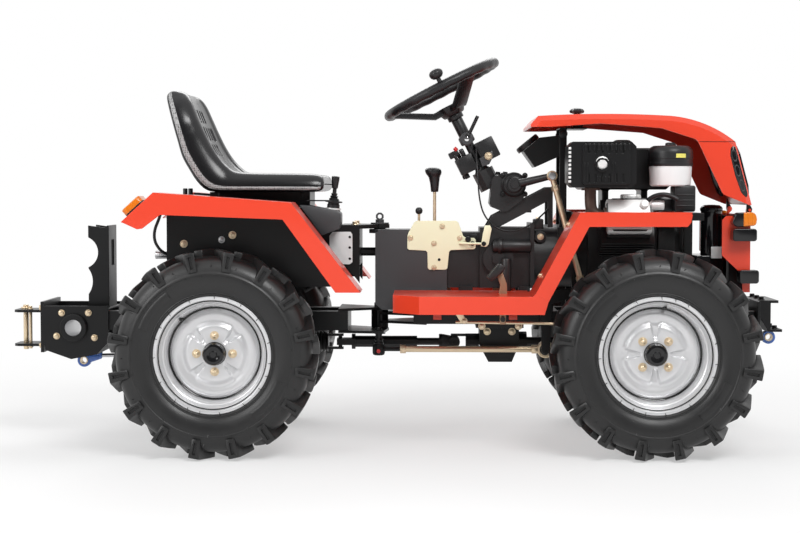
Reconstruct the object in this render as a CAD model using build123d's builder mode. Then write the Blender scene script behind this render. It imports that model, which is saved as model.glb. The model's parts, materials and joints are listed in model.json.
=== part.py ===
from build123d import *
import os
from math import asin, cos, degrees, radians, sin, sqrt

os.makedirs("parts", exist_ok=True)

# Articulated mini tractor in millimetres. +X is forward, +Y its left side and +Z up.
# Heights are measured from the line of the axles, and save() lifts every piece to stand on Z = 0.

# Tyres, rims and axles
tyre_od = 600
tyre_width = 155
lug_height = 19
lugs_per_side = 16
wheel_facets = 24
bead_od = 304.8
rim_lip_od = 335
rim_width = 120
track = 800
spindle_r = 20
running_gap = 0.3
tyre_r = tyre_od / 2
bead_r = bead_od / 2

# Layout along the tractor: the floor lies between the tyres, and the axles stand clear of it
pivot_x = -46
floor_rear_x = 2
floor_front_x = 405
front_axle_x = floor_front_x + tyre_r + 49
rear_axle_x = pivot_x - tyre_r - 162

# The two half frames and the joint between them
rail_in, rail_out = 65, 105
front_rail_z = (61, 101)
rear_rail_z = (41, 99)
upper_pin_r = 10
king_bolt_r = 12

# Drive shaft between the half frames
shaft_z = -2
front_joint_x = 185
rear_joint_x = -169
spline_bar_r = 11
spline_tube_r = 17

# Sheet metal: the floor and front fenders, the seat box and rear fenders, the hood and nose
sheet = 3
floor_z = 164
skirt_z = 112
floor_half = 400
fender_top = tyre_r + 105
fender_under = fender_top - sheet
fender_corner_x = floor_front_x + 133
deck_z = tyre_r + 117
body_half = track / 2 - tyre_width / 2 - 42.5
rear_fender_out = track / 2 + 30
hood_half = 205
nose_half = 200
hinge = (1064, 409)

# Steering: the column's axis, then the linkage from the gear to the rear half
wheel_centre = Vector(145, 0, 779)
column_up = Vector(-0.452, 0, 0.892)
steering_rim_r = 182
steering_rim_tube = 13
gear_shaft = (365, 485)
pitman_reach = (111, 26)
crank_pin = (461, 140)
tie_rod_z = -15
arm_y = -110
link_y = -150
lever_y = (-135, -125)


def save(part, name):
    """Lifts a piece from the axle line to the ground and writes it."""
    lifted = part.moved(Location((0, 0, tyre_r)))
    lifted.label = name
    export_step(lifted, f"parts/{name}.step")


def pair(side, near, far):
    """Y limits of something on one side of the centre plane."""
    return sorted((side * near, side * far))


def box(x, y, z, mode=Mode.ADD):
    """A block between pairs of limits along X, Y and Z."""
    with Locations(((x[0] + x[1]) / 2, (y[0] + y[1]) / 2, (z[0] + z[1]) / 2)):
        Box(x[1] - x[0], y[1] - y[0], z[1] - z[0], mode=mode)


def plate(outline, y, corner=0, mode=Mode.ADD):
    """A flat plate from its side outline in (x, z), between two values of Y."""
    with BuildSketch(Plane.XZ.offset(-y[1])) as side:
        Polygon(*outline, align=None)
        if corner:
            chamfer(side.vertices(), corner)
    extrude(side.sketch, amount=y[1] - y[0], mode=mode)


def plan(outline, z, mode=Mode.ADD):
    """A flat plate from its outline seen from above in (x, y), between two heights."""
    with BuildSketch(Plane.XY.offset(z[0])) as top:
        Polygon(*outline, align=None)
    extrude(top.sketch, amount=z[1] - z[0], mode=mode)


def bar_end(radius, sides):
    """A circle or, where roundness doesn't show, a polygon with its flats at the radius."""
    if sides:
        RegularPolygon(radius, sides, major_radius=False, rotation=180 / sides)
    else:
        Circle(radius)


def rod_x(y, z, radius, x, sides=0, mode=Mode.ADD):
    """A bar along X."""
    with BuildSketch(Plane.YZ.offset(x[0])) as end:
        with Locations((y, z)):
            bar_end(radius, sides)
    extrude(end.sketch, amount=x[1] - x[0], mode=mode)


def rod_y(x, z, radius, y, sides=0, mode=Mode.ADD):
    """A bar along Y."""
    with BuildSketch(Plane.XZ.offset(-y[1])) as end:
        with Locations((x, z)):
            bar_end(radius, sides)
    extrude(end.sketch, amount=y[1] - y[0], mode=mode)


def rod_z(x, y, radius, z, sides=0, mode=Mode.ADD):
    """A bar along Z."""
    with BuildSketch(Plane.XY.offset(z[0])) as end:
        with Locations((x, y)):
            bar_end(radius, sides)
    extrude(end.sketch, amount=z[1] - z[0], mode=mode)


def taper_z(x, y, sections, sides, mode=Mode.ADD):
    """A faceted upright form through polygons given as (z, radius)."""
    rings = []
    for z, radius in sections:
        with BuildSketch(Plane.XY.offset(z)) as outline:
            with Locations((x, y)):
                bar_end(radius, sides)
        rings.append(outline.sketch)
    loft(sections=rings, ruled=True, mode=mode)


def drum(sections, mode=Mode.ADD):
    """A faceted form about the Y axis through rings given as (y, radius)."""
    rings = []
    for y, radius in sections:
        with BuildSketch(Plane.XZ.offset(-y)) as outline:
            bar_end(radius, wheel_facets)
        rings.append(outline.sketch)
    loft(sections=rings, ruled=True, mode=mode)


# Tyre on its axis along Y at the origin: carcass, then slanting lugs that stop at the middle of the tread
carcass_r = tyre_r - lug_height
shoulder_r = bead_r + 0.67 * (carcass_r - bead_r)
bead_half = rim_width / 2 - 8
carcass = [
    # half width, radius
    (bead_half, bead_r + 16),
    (tyre_width / 2 - 2.5, shoulder_r),
    (50, carcass_r),
]
lug_half = 34
lug_root = shoulder_r - 10
lug_top = sqrt(tyre_r**2 - lug_half**2)
lug_outline = [
    (-lug_half, 3),
    (-lug_half + 24, 3),
    (lug_half, -tyre_width / 2),
    (lug_half - 27, -tyre_width / 2),
]
with BuildPart() as lug:
    with BuildSketch(Plane.XY.offset(lug_root)):
        Polygon(*lug_outline, align=None)
    extrude(amount=lug_top - lug_root)
lugs = []
for step in range(lugs_per_side):
    turn = 360 / lugs_per_side * step
    lugs.append(lug.part.rotate(Axis.Y, turn))
    lugs.append(mirror(lug.part, about=Plane.XZ).rotate(Axis.Y, turn + 180 / lugs_per_side))

with BuildPart() as tyre:
    drum([(-w, r) for w, r in carcass] + [(w, r) for w, r in reversed(carcass)])
    drum([(-bead_half - 1, bead_r), (bead_half + 1, bead_r)], mode=Mode.SUBTRACT)
    add(lugs)

# Rim with its dished and grooved disc, hub and cap, outer face towards -Y
rim_half = rim_width / 2
rim_lip_r = rim_lip_od / 2
disc_y = (8, 13)
disc_r = bead_r - 18
with BuildPart() as wheel:
    drum([(-rim_half, rim_lip_r), (-bead_half, bead_r), (bead_half, bead_r), (rim_half, rim_lip_r)])
    drum([(-rim_half - 1, bead_r - 3), (disc_y[0], disc_r)], mode=Mode.SUBTRACT)
    drum([(disc_y[1], disc_r), (rim_half + 1, bead_r - 3)], mode=Mode.SUBTRACT)
    drum([(-4, 84), (disc_y[0], 97)])
    with BuildSketch(Plane.XZ.offset(5)) as grooves:
        with PolarLocations(0, 4):
            Polygon((42, -3), (42, 3), (104, 11), (104, -11), align=None)
    extrude(grooves.sketch, amount=-4.5, mode=Mode.SUBTRACT)
    rod_y(0, 0, 36, (disc_y[1], 75), sides=10)
    rod_y(0, 0, 31.5, (-36, -4), sides=12)
    rod_y(0, 0, spindle_r + running_gap, (-15, 75), sides=10, mode=Mode.SUBTRACT)

corners = {
    # name: (axle x, side, turn of the wheel in the photograph)
    "front_right": (front_axle_x, -1, 0),
    "front_left": (front_axle_x, 1, 0),
    "rear_right": (rear_axle_x, -1, 45),
    "rear_left": (rear_axle_x, 1, 45),
}
lug_corner_turn = degrees(asin(lug_half / tyre_r))
for corner, (x, side, turn) in corners.items():
    place = Location((x, side * track / 2, 0))
    save(tyre.part.rotate(Axis.Y, lug_corner_turn).moved(place), f"tyre_{corner}")
    faced = wheel.part if side < 0 else wheel.part.rotate(Axis.Z, 180)
    save(faced.rotate(Axis.Y, lug_corner_turn + turn).moved(place), f"wheel_{corner}")


def axle(x, pad_z):
    """A live axle: tube, centre housing, brake flanges, spindles and the pads its rails rest on."""
    flange_y = track / 2 - 100
    rod_y(x, 0, 32, (-flange_y, flange_y), sides=8)
    rod_y(x, 0, 76, (-58, 58), sides=12)
    for side in (-1, 1):
        rod_y(x, 0, 58, pair(side, flange_y, flange_y + 12), sides=10)
        rod_y(x, 0, spindle_r, pair(side, flange_y + 12, track / 2 + 8))
        box((x - 30, x + 30), pair(side, 60, rail_out), (0, pad_z))


with BuildPart() as front_axle:
    axle(front_axle_x, front_rail_z[0])
    rod_x(0, shaft_z, 38, (front_axle_x - 110, front_axle_x), sides=8)
save(front_axle.part, "front_axle")

with BuildPart() as rear_axle:
    axle(rear_axle_x, rear_rail_z[0])
    rod_x(0, shaft_z, 34, (rear_axle_x, -300), sides=8)
    rod_x(0, shaft_z, 24, (-300, rear_joint_x - 36), sides=8)
    for z in (shaft_z - 24, shaft_z + 17):
        box((rear_joint_x - 40, rear_joint_x + 10), (-10, 10), (z, z + 7))
save(rear_axle.part, "rear_axle")

# Front half frame: members on the right side that the left repeats, cross members, the joint's lower
# bearing and the bracket of the bell crank
frame_members = [
    # x limits, y limits, z limits
    ((60, 1095), (rail_in, rail_out), front_rail_z),
    ((590, 810), (rail_in, rail_out), (front_rail_z[1], 170)),
    ((fender_corner_x + 2, fender_corner_x + 20), (97, 113), (front_rail_z[0], fender_under)),
    ((fender_corner_x + 2, fender_corner_x + 20), (97, floor_half - 10), (fender_under - 22, fender_under)),
    ((880, 905), (rail_in, rail_out), (front_rail_z[1], fender_under)),
    ((880, 905), (rail_in, 310), (fender_under - 22, fender_under)),
    ((840, 905), (286, 310), (fender_under - 22, fender_under)),
    ((1015, 1058), (rail_in, rail_out), (front_rail_z[1], 390)),
]
with BuildPart() as front_frame:
    for x, y, z in frame_members:
        for side in (-1, 1):
            box(x, pair(side, *y), z)
    for x in ((60, 100), (470, 500), (980, 1010)):
        box(x, (-rail_in, rail_in), front_rail_z)
    box((1095, 1103), (-150, 150), (25, 134))
    box((915, 1005), (-rail_out, rail_out), (front_rail_z[1], front_rail_z[1] + 6))
    for z in ((58, 66), (84, 92)):
        plan([(pivot_x, -26), (100, -rail_out), (100, rail_out), (pivot_x, 26)], z)
    rod_z(pivot_x, 0, 26, (42, 98), sides=12)
    rod_z(pivot_x, 0, king_bolt_r + running_gap, (40, 100), sides=8, mode=Mode.SUBTRACT)
    box((crank_pin[0] - 23, crank_pin[0] + 23), (-113, -rail_out), (65, crank_pin[1] + 22))
    rod_y(*crank_pin, 9, (-139, -113))
save(front_frame.part, "front_frame")

# Tunnel box that carries the upper joint pin
tunnel_half = 70
tunnel_x = (-58, 162)
with BuildPart() as tunnel_box:
    wall = [(-36, front_rail_z[1]), (tunnel_x[1], front_rail_z[1]), (tunnel_x[1], 340), (tunnel_x[0], 340),
            (tunnel_x[0], front_rail_z[1] + 17)]
    for side in (-1, 1):
        plate(wall, pair(side, tunnel_half - 4, tunnel_half))
    box((tunnel_x[1] - 6, tunnel_x[1]), (-tunnel_half, tunnel_half), (front_rail_z[1], 340))
    plan([(-78, -30), (-50, -tunnel_half), (tunnel_x[1], -tunnel_half), (tunnel_x[1], tunnel_half),
          (-50, tunnel_half), (-78, 30)], (336, 348))
    rod_z(pivot_x, 0, 18, (348, 350.7), sides=8)
    rod_z(pivot_x, 0, upper_pin_r, (348, 376))
    rod_z(pivot_x, 0, 28, (363.3, 368), sides=8)
    rod_z(pivot_x, 0, 13, (368, 378), sides=6)
    rod_y(pivot_x, 387, 12, (-4, 4), sides=8)
    rod_y(pivot_x, 387, 6, (-5, 5), sides=6, mode=Mode.SUBTRACT)
save(tunnel_box.part, "tunnel_box")

# Gearbox, clutch housing and its round covers
gearbox_z = 170
with BuildPart() as gearbox:
    box((tunnel_x[1] + 1, 262), (-64, 64), (gearbox_z, 340))
    box((262, 415), (-80, 80), (gearbox_z, 355))
    box((415, 427), (-100, 100), (gearbox_z, 368))
    rod_x(0, 266, 94, (427, 590), sides=14)
    box((500, 532), (-76, 76), (266, 355))
    for y in ((-95, -80), (80, 95)):
        rod_y(318, 260, 46, y, sides=12)
    rod_y(318, 260, 18, (-103, -95), sides=6)
    for x in ((200, 240), (380, 415)):
        for side in (-1, 1):
            box(x, pair(side, 55, 95), (front_rail_z[1], gearbox_z + 5))
save(gearbox.part, "gearbox")

# Transfer case under the rails, with the shaft to the front axle
with BuildPart() as transfer_case:
    box((250, 395), (-rail_out, rail_out), (front_rail_z[0] - 12, front_rail_z[0]))
    plate([(262, 49), (262, -8), (290, -60), (362, -60), (384, -8), (384, 49)], (-55, 55))
    rod_x(0, shaft_z, 30, (384, 410), sides=10)
    rod_x(0, shaft_z, 14, (410, front_axle_x - 110), sides=8)
    rod_x(0, shaft_z, 24, (front_joint_x + 36, 262), sides=10)
    for z in (shaft_z - 24, shaft_z + 17):
        box((front_joint_x - 10, front_joint_x + 40), (-10, 10), (z, z + 7))
save(transfer_case.part, "transfer_case")


def shaft_yoke(x, forward):
    """Cross and ears of a universal joint at x, with the ears open from the joint towards forward."""
    box((x - 10, x + 10), (-10, 10), (shaft_z - 10, shaft_z + 10))
    rod_y(x, shaft_z, 6, (-17, 17), sides=4)
    rod_z(x, 0, 6, (shaft_z - 17 + running_gap, shaft_z + 17 - running_gap))
    for side in (-1, 1):
        ear_x = sorted((x - forward * 10, x + forward * 40))
        box(ear_x, pair(side, 17, 23), (shaft_z - 10, shaft_z + 10))
    rod_x(0, shaft_z, 23, sorted((x + forward * 36, x + forward * 47)), sides=8)


with BuildPart() as prop_front:
    shaft_yoke(front_joint_x, -1)
    rod_x(0, shaft_z, spline_bar_r, (-60, front_joint_x - 40), sides=8)
save(prop_front.part, "prop_front")

with BuildPart() as prop_rear:
    shaft_yoke(rear_joint_x, 1)
    rod_x(0, shaft_z, spline_tube_r, (rear_joint_x + 40, 70), sides=8)
    rod_x(0, shaft_z, spline_bar_r + 1.2, (rear_joint_x + 47, 72), sides=8, mode=Mode.SUBTRACT)
save(prop_rear.part, "prop_rear")

# Engine: crankcase, finned cylinder leaning to the right, valve cover, fan housing and recoil starter
crankcase_top = 360
lean = radians(25)
cylinder_plane = Plane(origin=(695, -70, 310), x_dir=(1, 0, 0), z_dir=(0, -cos(lean), sin(lean)))
fin_count = 6
fin_pitch = 18
with BuildPart() as engine_block:
    box((590, 800), (-100, 140), (170, crankcase_top))
    with BuildSketch(cylinder_plane) as barrel:
        Rectangle(126, 112)
    extrude(barrel.sketch, amount=175)
    for step in range(fin_count):
        with BuildSketch(cylinder_plane.offset(58 + fin_pitch * step)) as fin:
            Rectangle(156, 142)
        extrude(fin.sketch, amount=7)
    with BuildSketch(cylinder_plane.offset(175)) as cover:
        Rectangle(132, 104)
        chamfer(cover.vertices(), 18)
    extrude(cover.sketch, amount=32)
    rod_x(20, 310, 140, (800, 850), sides=16)
    rod_x(20, 310, 92, (850, 872), sides=12)
save(engine_block.part, "engine_block")

# Muffler: can, slotted guard, outlet and the pipe down to the cylinder head
can = [(510, 476), (708, 476), (708, 609), (510, 609)]
guard_y = (-318, -310)
with BuildPart() as muffler:
    plate(can, (guard_y[1], -200), corner=14)
    plate([(552, 484), (690, 484), (690, 601), (552, 601)], guard_y, corner=6)
    for step in range(6):
        x = 566 + 20 * step
        box((x, x + 6), (guard_y[0] - 1, guard_y[0] + 4), (490, 516), mode=Mode.SUBTRACT)
        box((x, x + 6), (guard_y[0] - 1, guard_y[0] + 4), (574, 602), mode=Mode.SUBTRACT)
    rod_y(608, 542, 20, (-328, guard_y[0]), sides=10)
    rod_y(608, 542, 14, (-329, guard_y[0]), sides=8, mode=Mode.SUBTRACT)
    rod_z(582, -243, 14, (378, 476), sides=8)
    rod_x(-243, 390.7, 14, (582, 629), sides=8)
save(muffler.part, "muffler")

# Air cleaner: bowl, lid and the box on its elbow
cleaner = (820, -215)
with BuildPart() as air_cleaner:
    taper_z(*cleaner, [(481, 60), (540, 63)], 14)
    taper_z(*cleaner, [(540, 66), (582, 66), (599, 56)], 14)
    box((826, 888), (-262, -172), (405, 481))
    box((773, 826), (-214, -164), (405, 442))
save(air_cleaner.part, "air_cleaner")

# Fuel tank with its filler cap and legs
with BuildPart() as fuel_tank:
    plate([(560, 490), (580, 470), (820, 470), (840, 490), (840, 575), (800, 595), (600, 595), (560, 570)],
          (-138, 170))
    taper_z(695, -70, [(595, 26), (614, 28), (621, 22)], 10)
    for x in ((640, 660), (760, 780)):
        box(x, (-20, 100), (crankcase_top, 470))
save(fuel_tank.part, "fuel_tank")

# Floor pans with turned-down edges, on outriggers from the rails; the left one is drawn and mirrored
corner_cut = 77
skirt_x = floor_rear_x + corner_cut
corner_y = floor_half - corner_cut
with BuildPart() as floor_pan:
    plan([(floor_rear_x, 104), (floor_front_x, 104), (floor_front_x, floor_half), (skirt_x, floor_half),
          (floor_rear_x, corner_y)], (floor_z - sheet, floor_z))
    plate([(skirt_x, skirt_z), (floor_front_x + 33, skirt_z), (floor_front_x + 44, floor_z - 15),
           (floor_front_x + 7, floor_z + 8), (floor_front_x + 2, floor_z), (skirt_x, floor_z)],
          (floor_half - sheet, floor_half))
    plan([(skirt_x, floor_half), (floor_rear_x, corner_y), (floor_rear_x, corner_y - sheet * sqrt(2)),
          (skirt_x, floor_half - sheet * sqrt(2))], (skirt_z, floor_z))
    plan([(floor_rear_x, 104), (floor_rear_x, corner_y), (floor_rear_x + sheet, corner_y),
          (floor_rear_x + sheet, 104)], (skirt_z, floor_z))
    for x in ((120, 145), (350, 375)):
        box(x, (rail_out, floor_half - sheet), (floor_z - 28, floor_z - sheet))
        box(x, (rail_out, rail_out + 12), (75, floor_z - sheet))
    box((308, 342), (236, 256), (floor_z - 10, floor_z + 5), mode=Mode.SUBTRACT)
    mirror(about=Plane.XZ)
save(floor_pan.part, "floor_pan")

# Front fenders: outer band, top and sloping sheet
fender_band = 41
fender_foot = (floor_front_x + 7, floor_z + 8)
fender_front_x = 857
with BuildPart() as front_fenders:
    plate([fender_foot, (fender_corner_x, fender_top), (fender_front_x - 7, fender_top),
           (fender_front_x, fender_top - 7), (fender_front_x - 4, fender_top - fender_band + 12),
           (fender_front_x - 14, fender_top - fender_band), (fender_corner_x + 26, fender_top - fender_band),
           (floor_front_x + 44, floor_z - 15)], (floor_half - sheet, floor_half))
    plate([(fender_corner_x, fender_top), (fender_front_x, fender_top), (fender_front_x, fender_under),
           (fender_corner_x + 2, fender_under)], (286, floor_half - sheet))
    plate([fender_foot, (fender_corner_x, fender_top), (fender_corner_x + 2, fender_under),
           (fender_foot[0] + 2.6, fender_foot[1] - 1.4)], (190, floor_half - sheet))
    mirror(about=Plane.XZ)
save(front_fenders.part, "front_fenders")

# Nose panel with the ears of the hood hinge
nose_x = 1061
ear_y = (nose_half - 52, nose_half - 44)
hinge_pin_r = 4
with BuildPart() as nose_panel:
    box((nose_x - sheet, nose_x), (-nose_half, nose_half), (165, 395))
    plate([(977, 380), (989, 392), (nose_x, 395), (nose_x, 165), (1040, 165), (1035, 220), (977, 275)],
          (nose_half - sheet, nose_half))
    plate([(1056, 385), (1056, 409), (1058, 415), (hinge[0], 417.5), (1070, 415), (1072, 409), (1070, 403),
           (nose_x, 394), (nose_x, 385)], ear_y)
    rod_y(*hinge, hinge_pin_r, (ear_y[1], ear_y[1] + 16))
    mirror(about=Plane.XZ)
save(nose_panel.part, "nose_panel")

# Lamps on the nose panel's sides: turn signals above, work lamps below
lamps = [
    # side outline in (x, z), depth
    ([(998, 372), (1012, 402), (1064, 404), (1073, 388), (1070, 364), (1012, 360)], 40),
    ([(1001, 318), (1072, 318), (1072, 355), (1001, 355)], 45),
    ([(1022, 193), (1080, 193), (1080, 233), (1022, 233)], 40),
]
with BuildPart() as front_lamps:
    for outline, depth in lamps:
        plate(outline, (nose_half, nose_half + depth), corner=5)
    mirror(about=Plane.XZ)
save(front_lamps.part, "front_lamps")

# Hood: an arched shell with bevelled shoulders, cut away along its lower edge, with hinge ears and a catch
hood_rear = (409, 664)
hood_brow = (1016, 612)
hood_foot = (1065.4, 426)
shoulder = 16


def hood_section(inset):
    """The hood's side outline down to a flat bottom, set in from its outside."""
    with BuildSketch(Plane.XZ.offset(inset - hood_half)) as side:
        with BuildLine():
            Line(hood_rear, (431, 689))
            ThreePointArc((431, 689), (615, 695), (823, 689))
            ThreePointArc((823, 689), (925, 665), hood_brow)
            Polyline(hood_brow, hood_foot, (hood_foot[0], 300), (hood_rear[0], 300), hood_rear)
        make_face()
        if inset:
            offset(amount=-inset, kind=Kind.INTERSECTION, mode=Mode.REPLACE)
    return side.sketch


def hood_block(inset):
    """The hood's form set in from its outside, with the upper edges of both sides bevelled."""
    half = hood_half - inset
    with BuildPart() as block:
        extrude(hood_section(inset), amount=2 * half)
        sides = [e for e in block.edges() if abs(abs(e.center().Y) - half) < 0.1]
        chamfer([e for e in sides if min(v.Z for v in e.vertices()) > hood_foot[1] - 5], shoulder)
    return block.part


lower_edge = [(395, 656), (470, 656), (615, 666), (794, 652), (900, 618), (978, 456), (1057, 424),
              (1100, 424), (1100, 280), (395, 280)]
with BuildPart() as hood:
    add(hood_block(0))
    add(hood_block(sheet), mode=Mode.SUBTRACT)
    with BuildSketch(Plane.XZ.offset(-hood_half - 1)) as below:
        Polygon(*lower_edge, align=None)
        bends = [v for v in below.vertices() if 800 < v.X < 1000 and v.Y > 300]
        fillet(bends, 22)
    extrude(below.sketch, amount=2 * hood_half + 2, mode=Mode.SUBTRACT)
    for side in (-1, 1):
        y = pair(side, ear_y[1] + 2, ear_y[1] + 10)
        plate([(1058, 445), (1060, 445), (1065, 427), (1072.5, 412), (1071, 403.5), (1064, 400),
               (1057, 403.5), (1055.5, 412), (1056, 430)], y)
        rod_y(*hinge, hinge_pin_r + running_gap, y, sides=8, mode=Mode.SUBTRACT)
    rod_z(563, 0, 8, (692, 706), sides=8)
    taper_z(563, 0, [(706, 19), (714, 22), (722, 14)], 8)
save(hood.part, "hood")

# Lamp panel on the hood's sloping front: two lamp recesses and the slots between them
panel_half = hood_half - 33
slope = (Vector(hood_foot[0], 0, hood_foot[1]) - Vector(hood_brow[0], 0, hood_brow[1])).normalized()
outward = Vector(-slope.Z, 0, slope.X)
panel_middle = Vector(hood_brow[0], 0, hood_brow[1]) + slope * 88
panel_plane = Plane(origin=panel_middle, x_dir=(0, 1, 0), z_dir=outward)
with BuildPart() as hood_grille:
    with BuildSketch(panel_plane) as blank:
        Rectangle(2 * panel_half, 150)
        chamfer(blank.vertices(), 24)
    extrude(blank.sketch, amount=9)
    with BuildSketch(panel_plane.offset(10)) as openings:
        for side in (-1, 1):
            with Locations((side * (panel_half - 62), 0)):
                Rectangle(92, 96)
        with GridLocations(0, 22, 1, 5):
            Rectangle(70, 9)
    extrude(openings.sketch, amount=-6, mode=Mode.SUBTRACT)
save(hood_grille.part, "hood_grille")

# Dash bracket: posts that carry the hood's catch, and the instrument pod
with BuildPart() as dash_bracket:
    for side in (-1, 1):
        box((505, 527), pair(side, 60, 68), (355, 655))
    box((505, 590), (-68, 68), (655, 660))
    box((548, 578), (-40, 40), (660, 690.6))
    plate([(394, 588), (444, 629), (515, 637), (515, 576), (430, 538)], (-64, 64))
save(dash_bracket.part, "dash_bracket")

# Steering gear: its two carrying arms, casting, round cover, output shaft and worm housing
column_place = Plane(origin=wheel_centre, x_dir=(0, -1, 0), z_dir=column_up)
with BuildPart() as steering_gear:
    for y in ((-70, -62), (62, 70)):
        plate([(280, 355), (300, 390), (468, 478), (485, 478), (485, 355), (470, 355), (470, 435),
               (320, 355)], y)
    plate([(290, 420), (300, 510), (352, 522), (400, 500), (396, 440), (340, 400)], (-80, 30), corner=8)
    box((330, 420), (-62, 62), (400, 420))
    rod_y(*gear_shaft, 30, (-92, -80), sides=10)
    rod_y(*gear_shaft, 12, (-139, -92))
    with BuildSketch(column_place.offset(-340)) as worm:
        bar_end(32, 10)
    extrude(worm.sketch, amount=60)
save(steering_gear.part, "steering_gear")

# Steering column: lower shaft, tilt joint, upper tube, switch box and tilt handle
with BuildPart() as steering_column:
    for start, end, radius in ((-280, -176, 10), (-182, -104, 16)):
        with BuildSketch(column_place.offset(start)) as tube:
            bar_end(radius, 8)
        extrude(tube.sketch, amount=end - start)
    with BuildSketch(column_place.offset(-186)) as joint:
        Rectangle(50, 46)
    extrude(joint.sketch, amount=28)
    with BuildSketch(column_place.offset(-268)) as switches:
        with Locations((0, 42)):
            Rectangle(70, 66)
    extrude(switches.sketch, amount=84)
    with BuildSketch(Plane(origin=(232, -30, 630), z_dir=(39, 0, 44))) as handle:
        bar_end(6, 6)
    extrude(handle.sketch, amount=58)
save(steering_column.part, "steering_column")

# Steering wheel about its own axis, then set on the column: rim, dished spokes, hub and spinner knob
rim_out = steering_rim_r + steering_rim_tube
rim_in = steering_rim_r - steering_rim_tube
rim_bevel = 7
rim_z = steering_rim_tube - 2
rim_facets = 20
hub_r = 25
with BuildPart() as steering_wheel:
    taper_z(0, 0, [(-rim_z, rim_out - rim_bevel), (0, rim_out), (rim_z, rim_out - rim_bevel)], rim_facets)
    taper_z(0, 0, [(-rim_z, rim_in + rim_bevel), (0, rim_in), (rim_z, rim_in + rim_bevel)], rim_facets,
            mode=Mode.SUBTRACT)
    for angle in (30, 150, 270):
        across, along = radians(angle - 90), radians(angle)
        spoke_plane = Plane(origin=(0, 0, 0), x_dir=(cos(along), sin(along), 0),
                            z_dir=(cos(across), sin(across), 0))
        with BuildSketch(spoke_plane.offset(-12)) as spoke:
            Polygon((14, -69), (62, -69), (rim_in + 9, -4), (rim_in + 6, 3), (60, -62), (14, -62), align=None)
        extrude(spoke.sketch, amount=24)
    rod_z(0, 0, hub_r, (-103, -58))
    rod_z(steering_rim_r, 0, 7, (8, 26), sides=8)
    taper_z(steering_rim_r, 0, [(26, 15), (40, 21), (54, 13)], 8)
save(steering_wheel.part.moved(column_place.location), "steering_wheel")


def lever(ends, y, radii):
    """A flat lever with round ends."""
    with BuildSketch(Plane.XZ.offset(-y[1])) as blank:
        for end, radius in zip(ends, radii):
            with Locations(end):
                bar_end(radius, 10)
        make_hull()
    extrude(blank.sketch, amount=y[1] - y[0])


pitman_end = (gear_shaft[0] + pitman_reach[0], gear_shaft[1] + pitman_reach[1])
crank_end = (crank_pin[0] + pitman_reach[0], crank_pin[1] + pitman_reach[1])
crank_foot = (crank_pin[0], tie_rod_z)
with BuildPart() as pitman_arm:
    lever([gear_shaft, pitman_end], lever_y, [20, 14])
    rod_y(*gear_shaft, 12 + running_gap, lever_y, sides=8, mode=Mode.SUBTRACT)
    rod_y(*pitman_end, 8, (link_y - 13, lever_y[0]))
save(pitman_arm.part, "pitman_arm")

with BuildPart() as bell_crank:
    lever([crank_pin, crank_end], lever_y, [18, 14])
    lever([crank_pin, crank_foot], lever_y, [18, 13])
    rod_y(*crank_pin, 9 + running_gap, lever_y, sides=8, mode=Mode.SUBTRACT)
    rod_y(*crank_end, 7.5, (link_y - 13, lever_y[0]), sides=8)
    rod_y(*crank_foot, 6, (lever_y[1], -78), sides=8)
save(bell_crank.part, "bell_crank")

with BuildPart() as drag_link:
    lever([pitman_end, crank_end], (link_y - 8, link_y + 8), [9, 9])
    for end in (pitman_end, crank_end):
        rod_y(*end, 16, (link_y - 11, link_y + 10), sides=10)
        rod_y(*end, 8 + running_gap, (link_y - 11, link_y + 10), sides=8, mode=Mode.SUBTRACT)
save(drag_link.part, "drag_link")

# Tie rod: ball stud in the rear arm, open eye round the crank's pin
with BuildPart() as tie_rod:
    rod_z(pivot_x, arm_y, 18, (-32, 2), sides=10)
    rod_z(pivot_x, arm_y, 11, (2, 32.7), sides=8)
    rod_z(pivot_x, arm_y, 7, (32, 41.3))
    rod_z(pivot_x, arm_y, 11, (41.3, 51), sides=6)
    rod_x(arm_y, tie_rod_z, 9, (pivot_x, crank_foot[0] - 22), sides=8)
    rod_y(*crank_foot, 26, (arm_y - 11, arm_y + 11), sides=12)
    rod_y(*crank_foot, 18, (arm_y - 13, arm_y + 13), sides=12, mode=Mode.SUBTRACT)
save(tie_rod.part, "tie_rod")

# Battery and canister behind the nose
with BuildPart() as battery:
    box((920, 1000), (-100, 100), (front_rail_z[1] + 6, 270))
    rod_z(968, -66, 32, (270, 424), sides=12)
save(battery.part, "battery")

# Front hitch bracket with its bolt holes, and the tow eye below
bolt_r = 6.5
with BuildPart() as front_hitch:
    plate([(1103, 134), (1168, 134), (1168, 126), (1145, 126), (1145, 46), (1180, 46), (1180, 38), (1137, 38),
           (1137, 126), (1103, 126)], (-100, 100))
    for side in (-1, 1):
        plate([(1103, 126), (1137, 126), (1137, 40), (1103, 100)], pair(side, 92, 100))
    for y in (-60, 60):
        for z in (66, 110):
            rod_x(y, z, bolt_r, (1136, 1146), mode=Mode.SUBTRACT)
save(front_hitch.part, "front_hitch")

eye_r, eye_bore_r, eye_half = 21, 9, 12


def tow_eye(x, z):
    """A ring with its bore across the tractor."""
    rod_y(x, z, eye_r, (-eye_half, eye_half), sides=12)
    rod_y(x, z, eye_bore_r, (-eye_half - 2, eye_half + 2), mode=Mode.SUBTRACT)


with BuildPart() as front_tow_eye:
    tow_eye(1158, 14)
    box((1150, 1166), (-eye_half, eye_half), (31, 38))
save(front_tow_eye.part, "front_tow_eye")

# Pedals on a cross shaft from the rails, with the rods below the floor
with BuildPart() as pedals:
    rod_y(325, 88, 8, (rail_out, 262), sides=8)
    plate([(318, 72), (332, 72), (334, 170), (322, 220), (306, 245), (298, 238), (316, 208), (320, 170)],
          (242, 250))
    plate([(284, 266), (292, 272), (318, 232), (310, 226)], (222, 270))
    box((190, 322), (236, 242), (74, 82))
    mirror(about=Plane.XZ)
save(pedals.part, "pedals")

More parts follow.
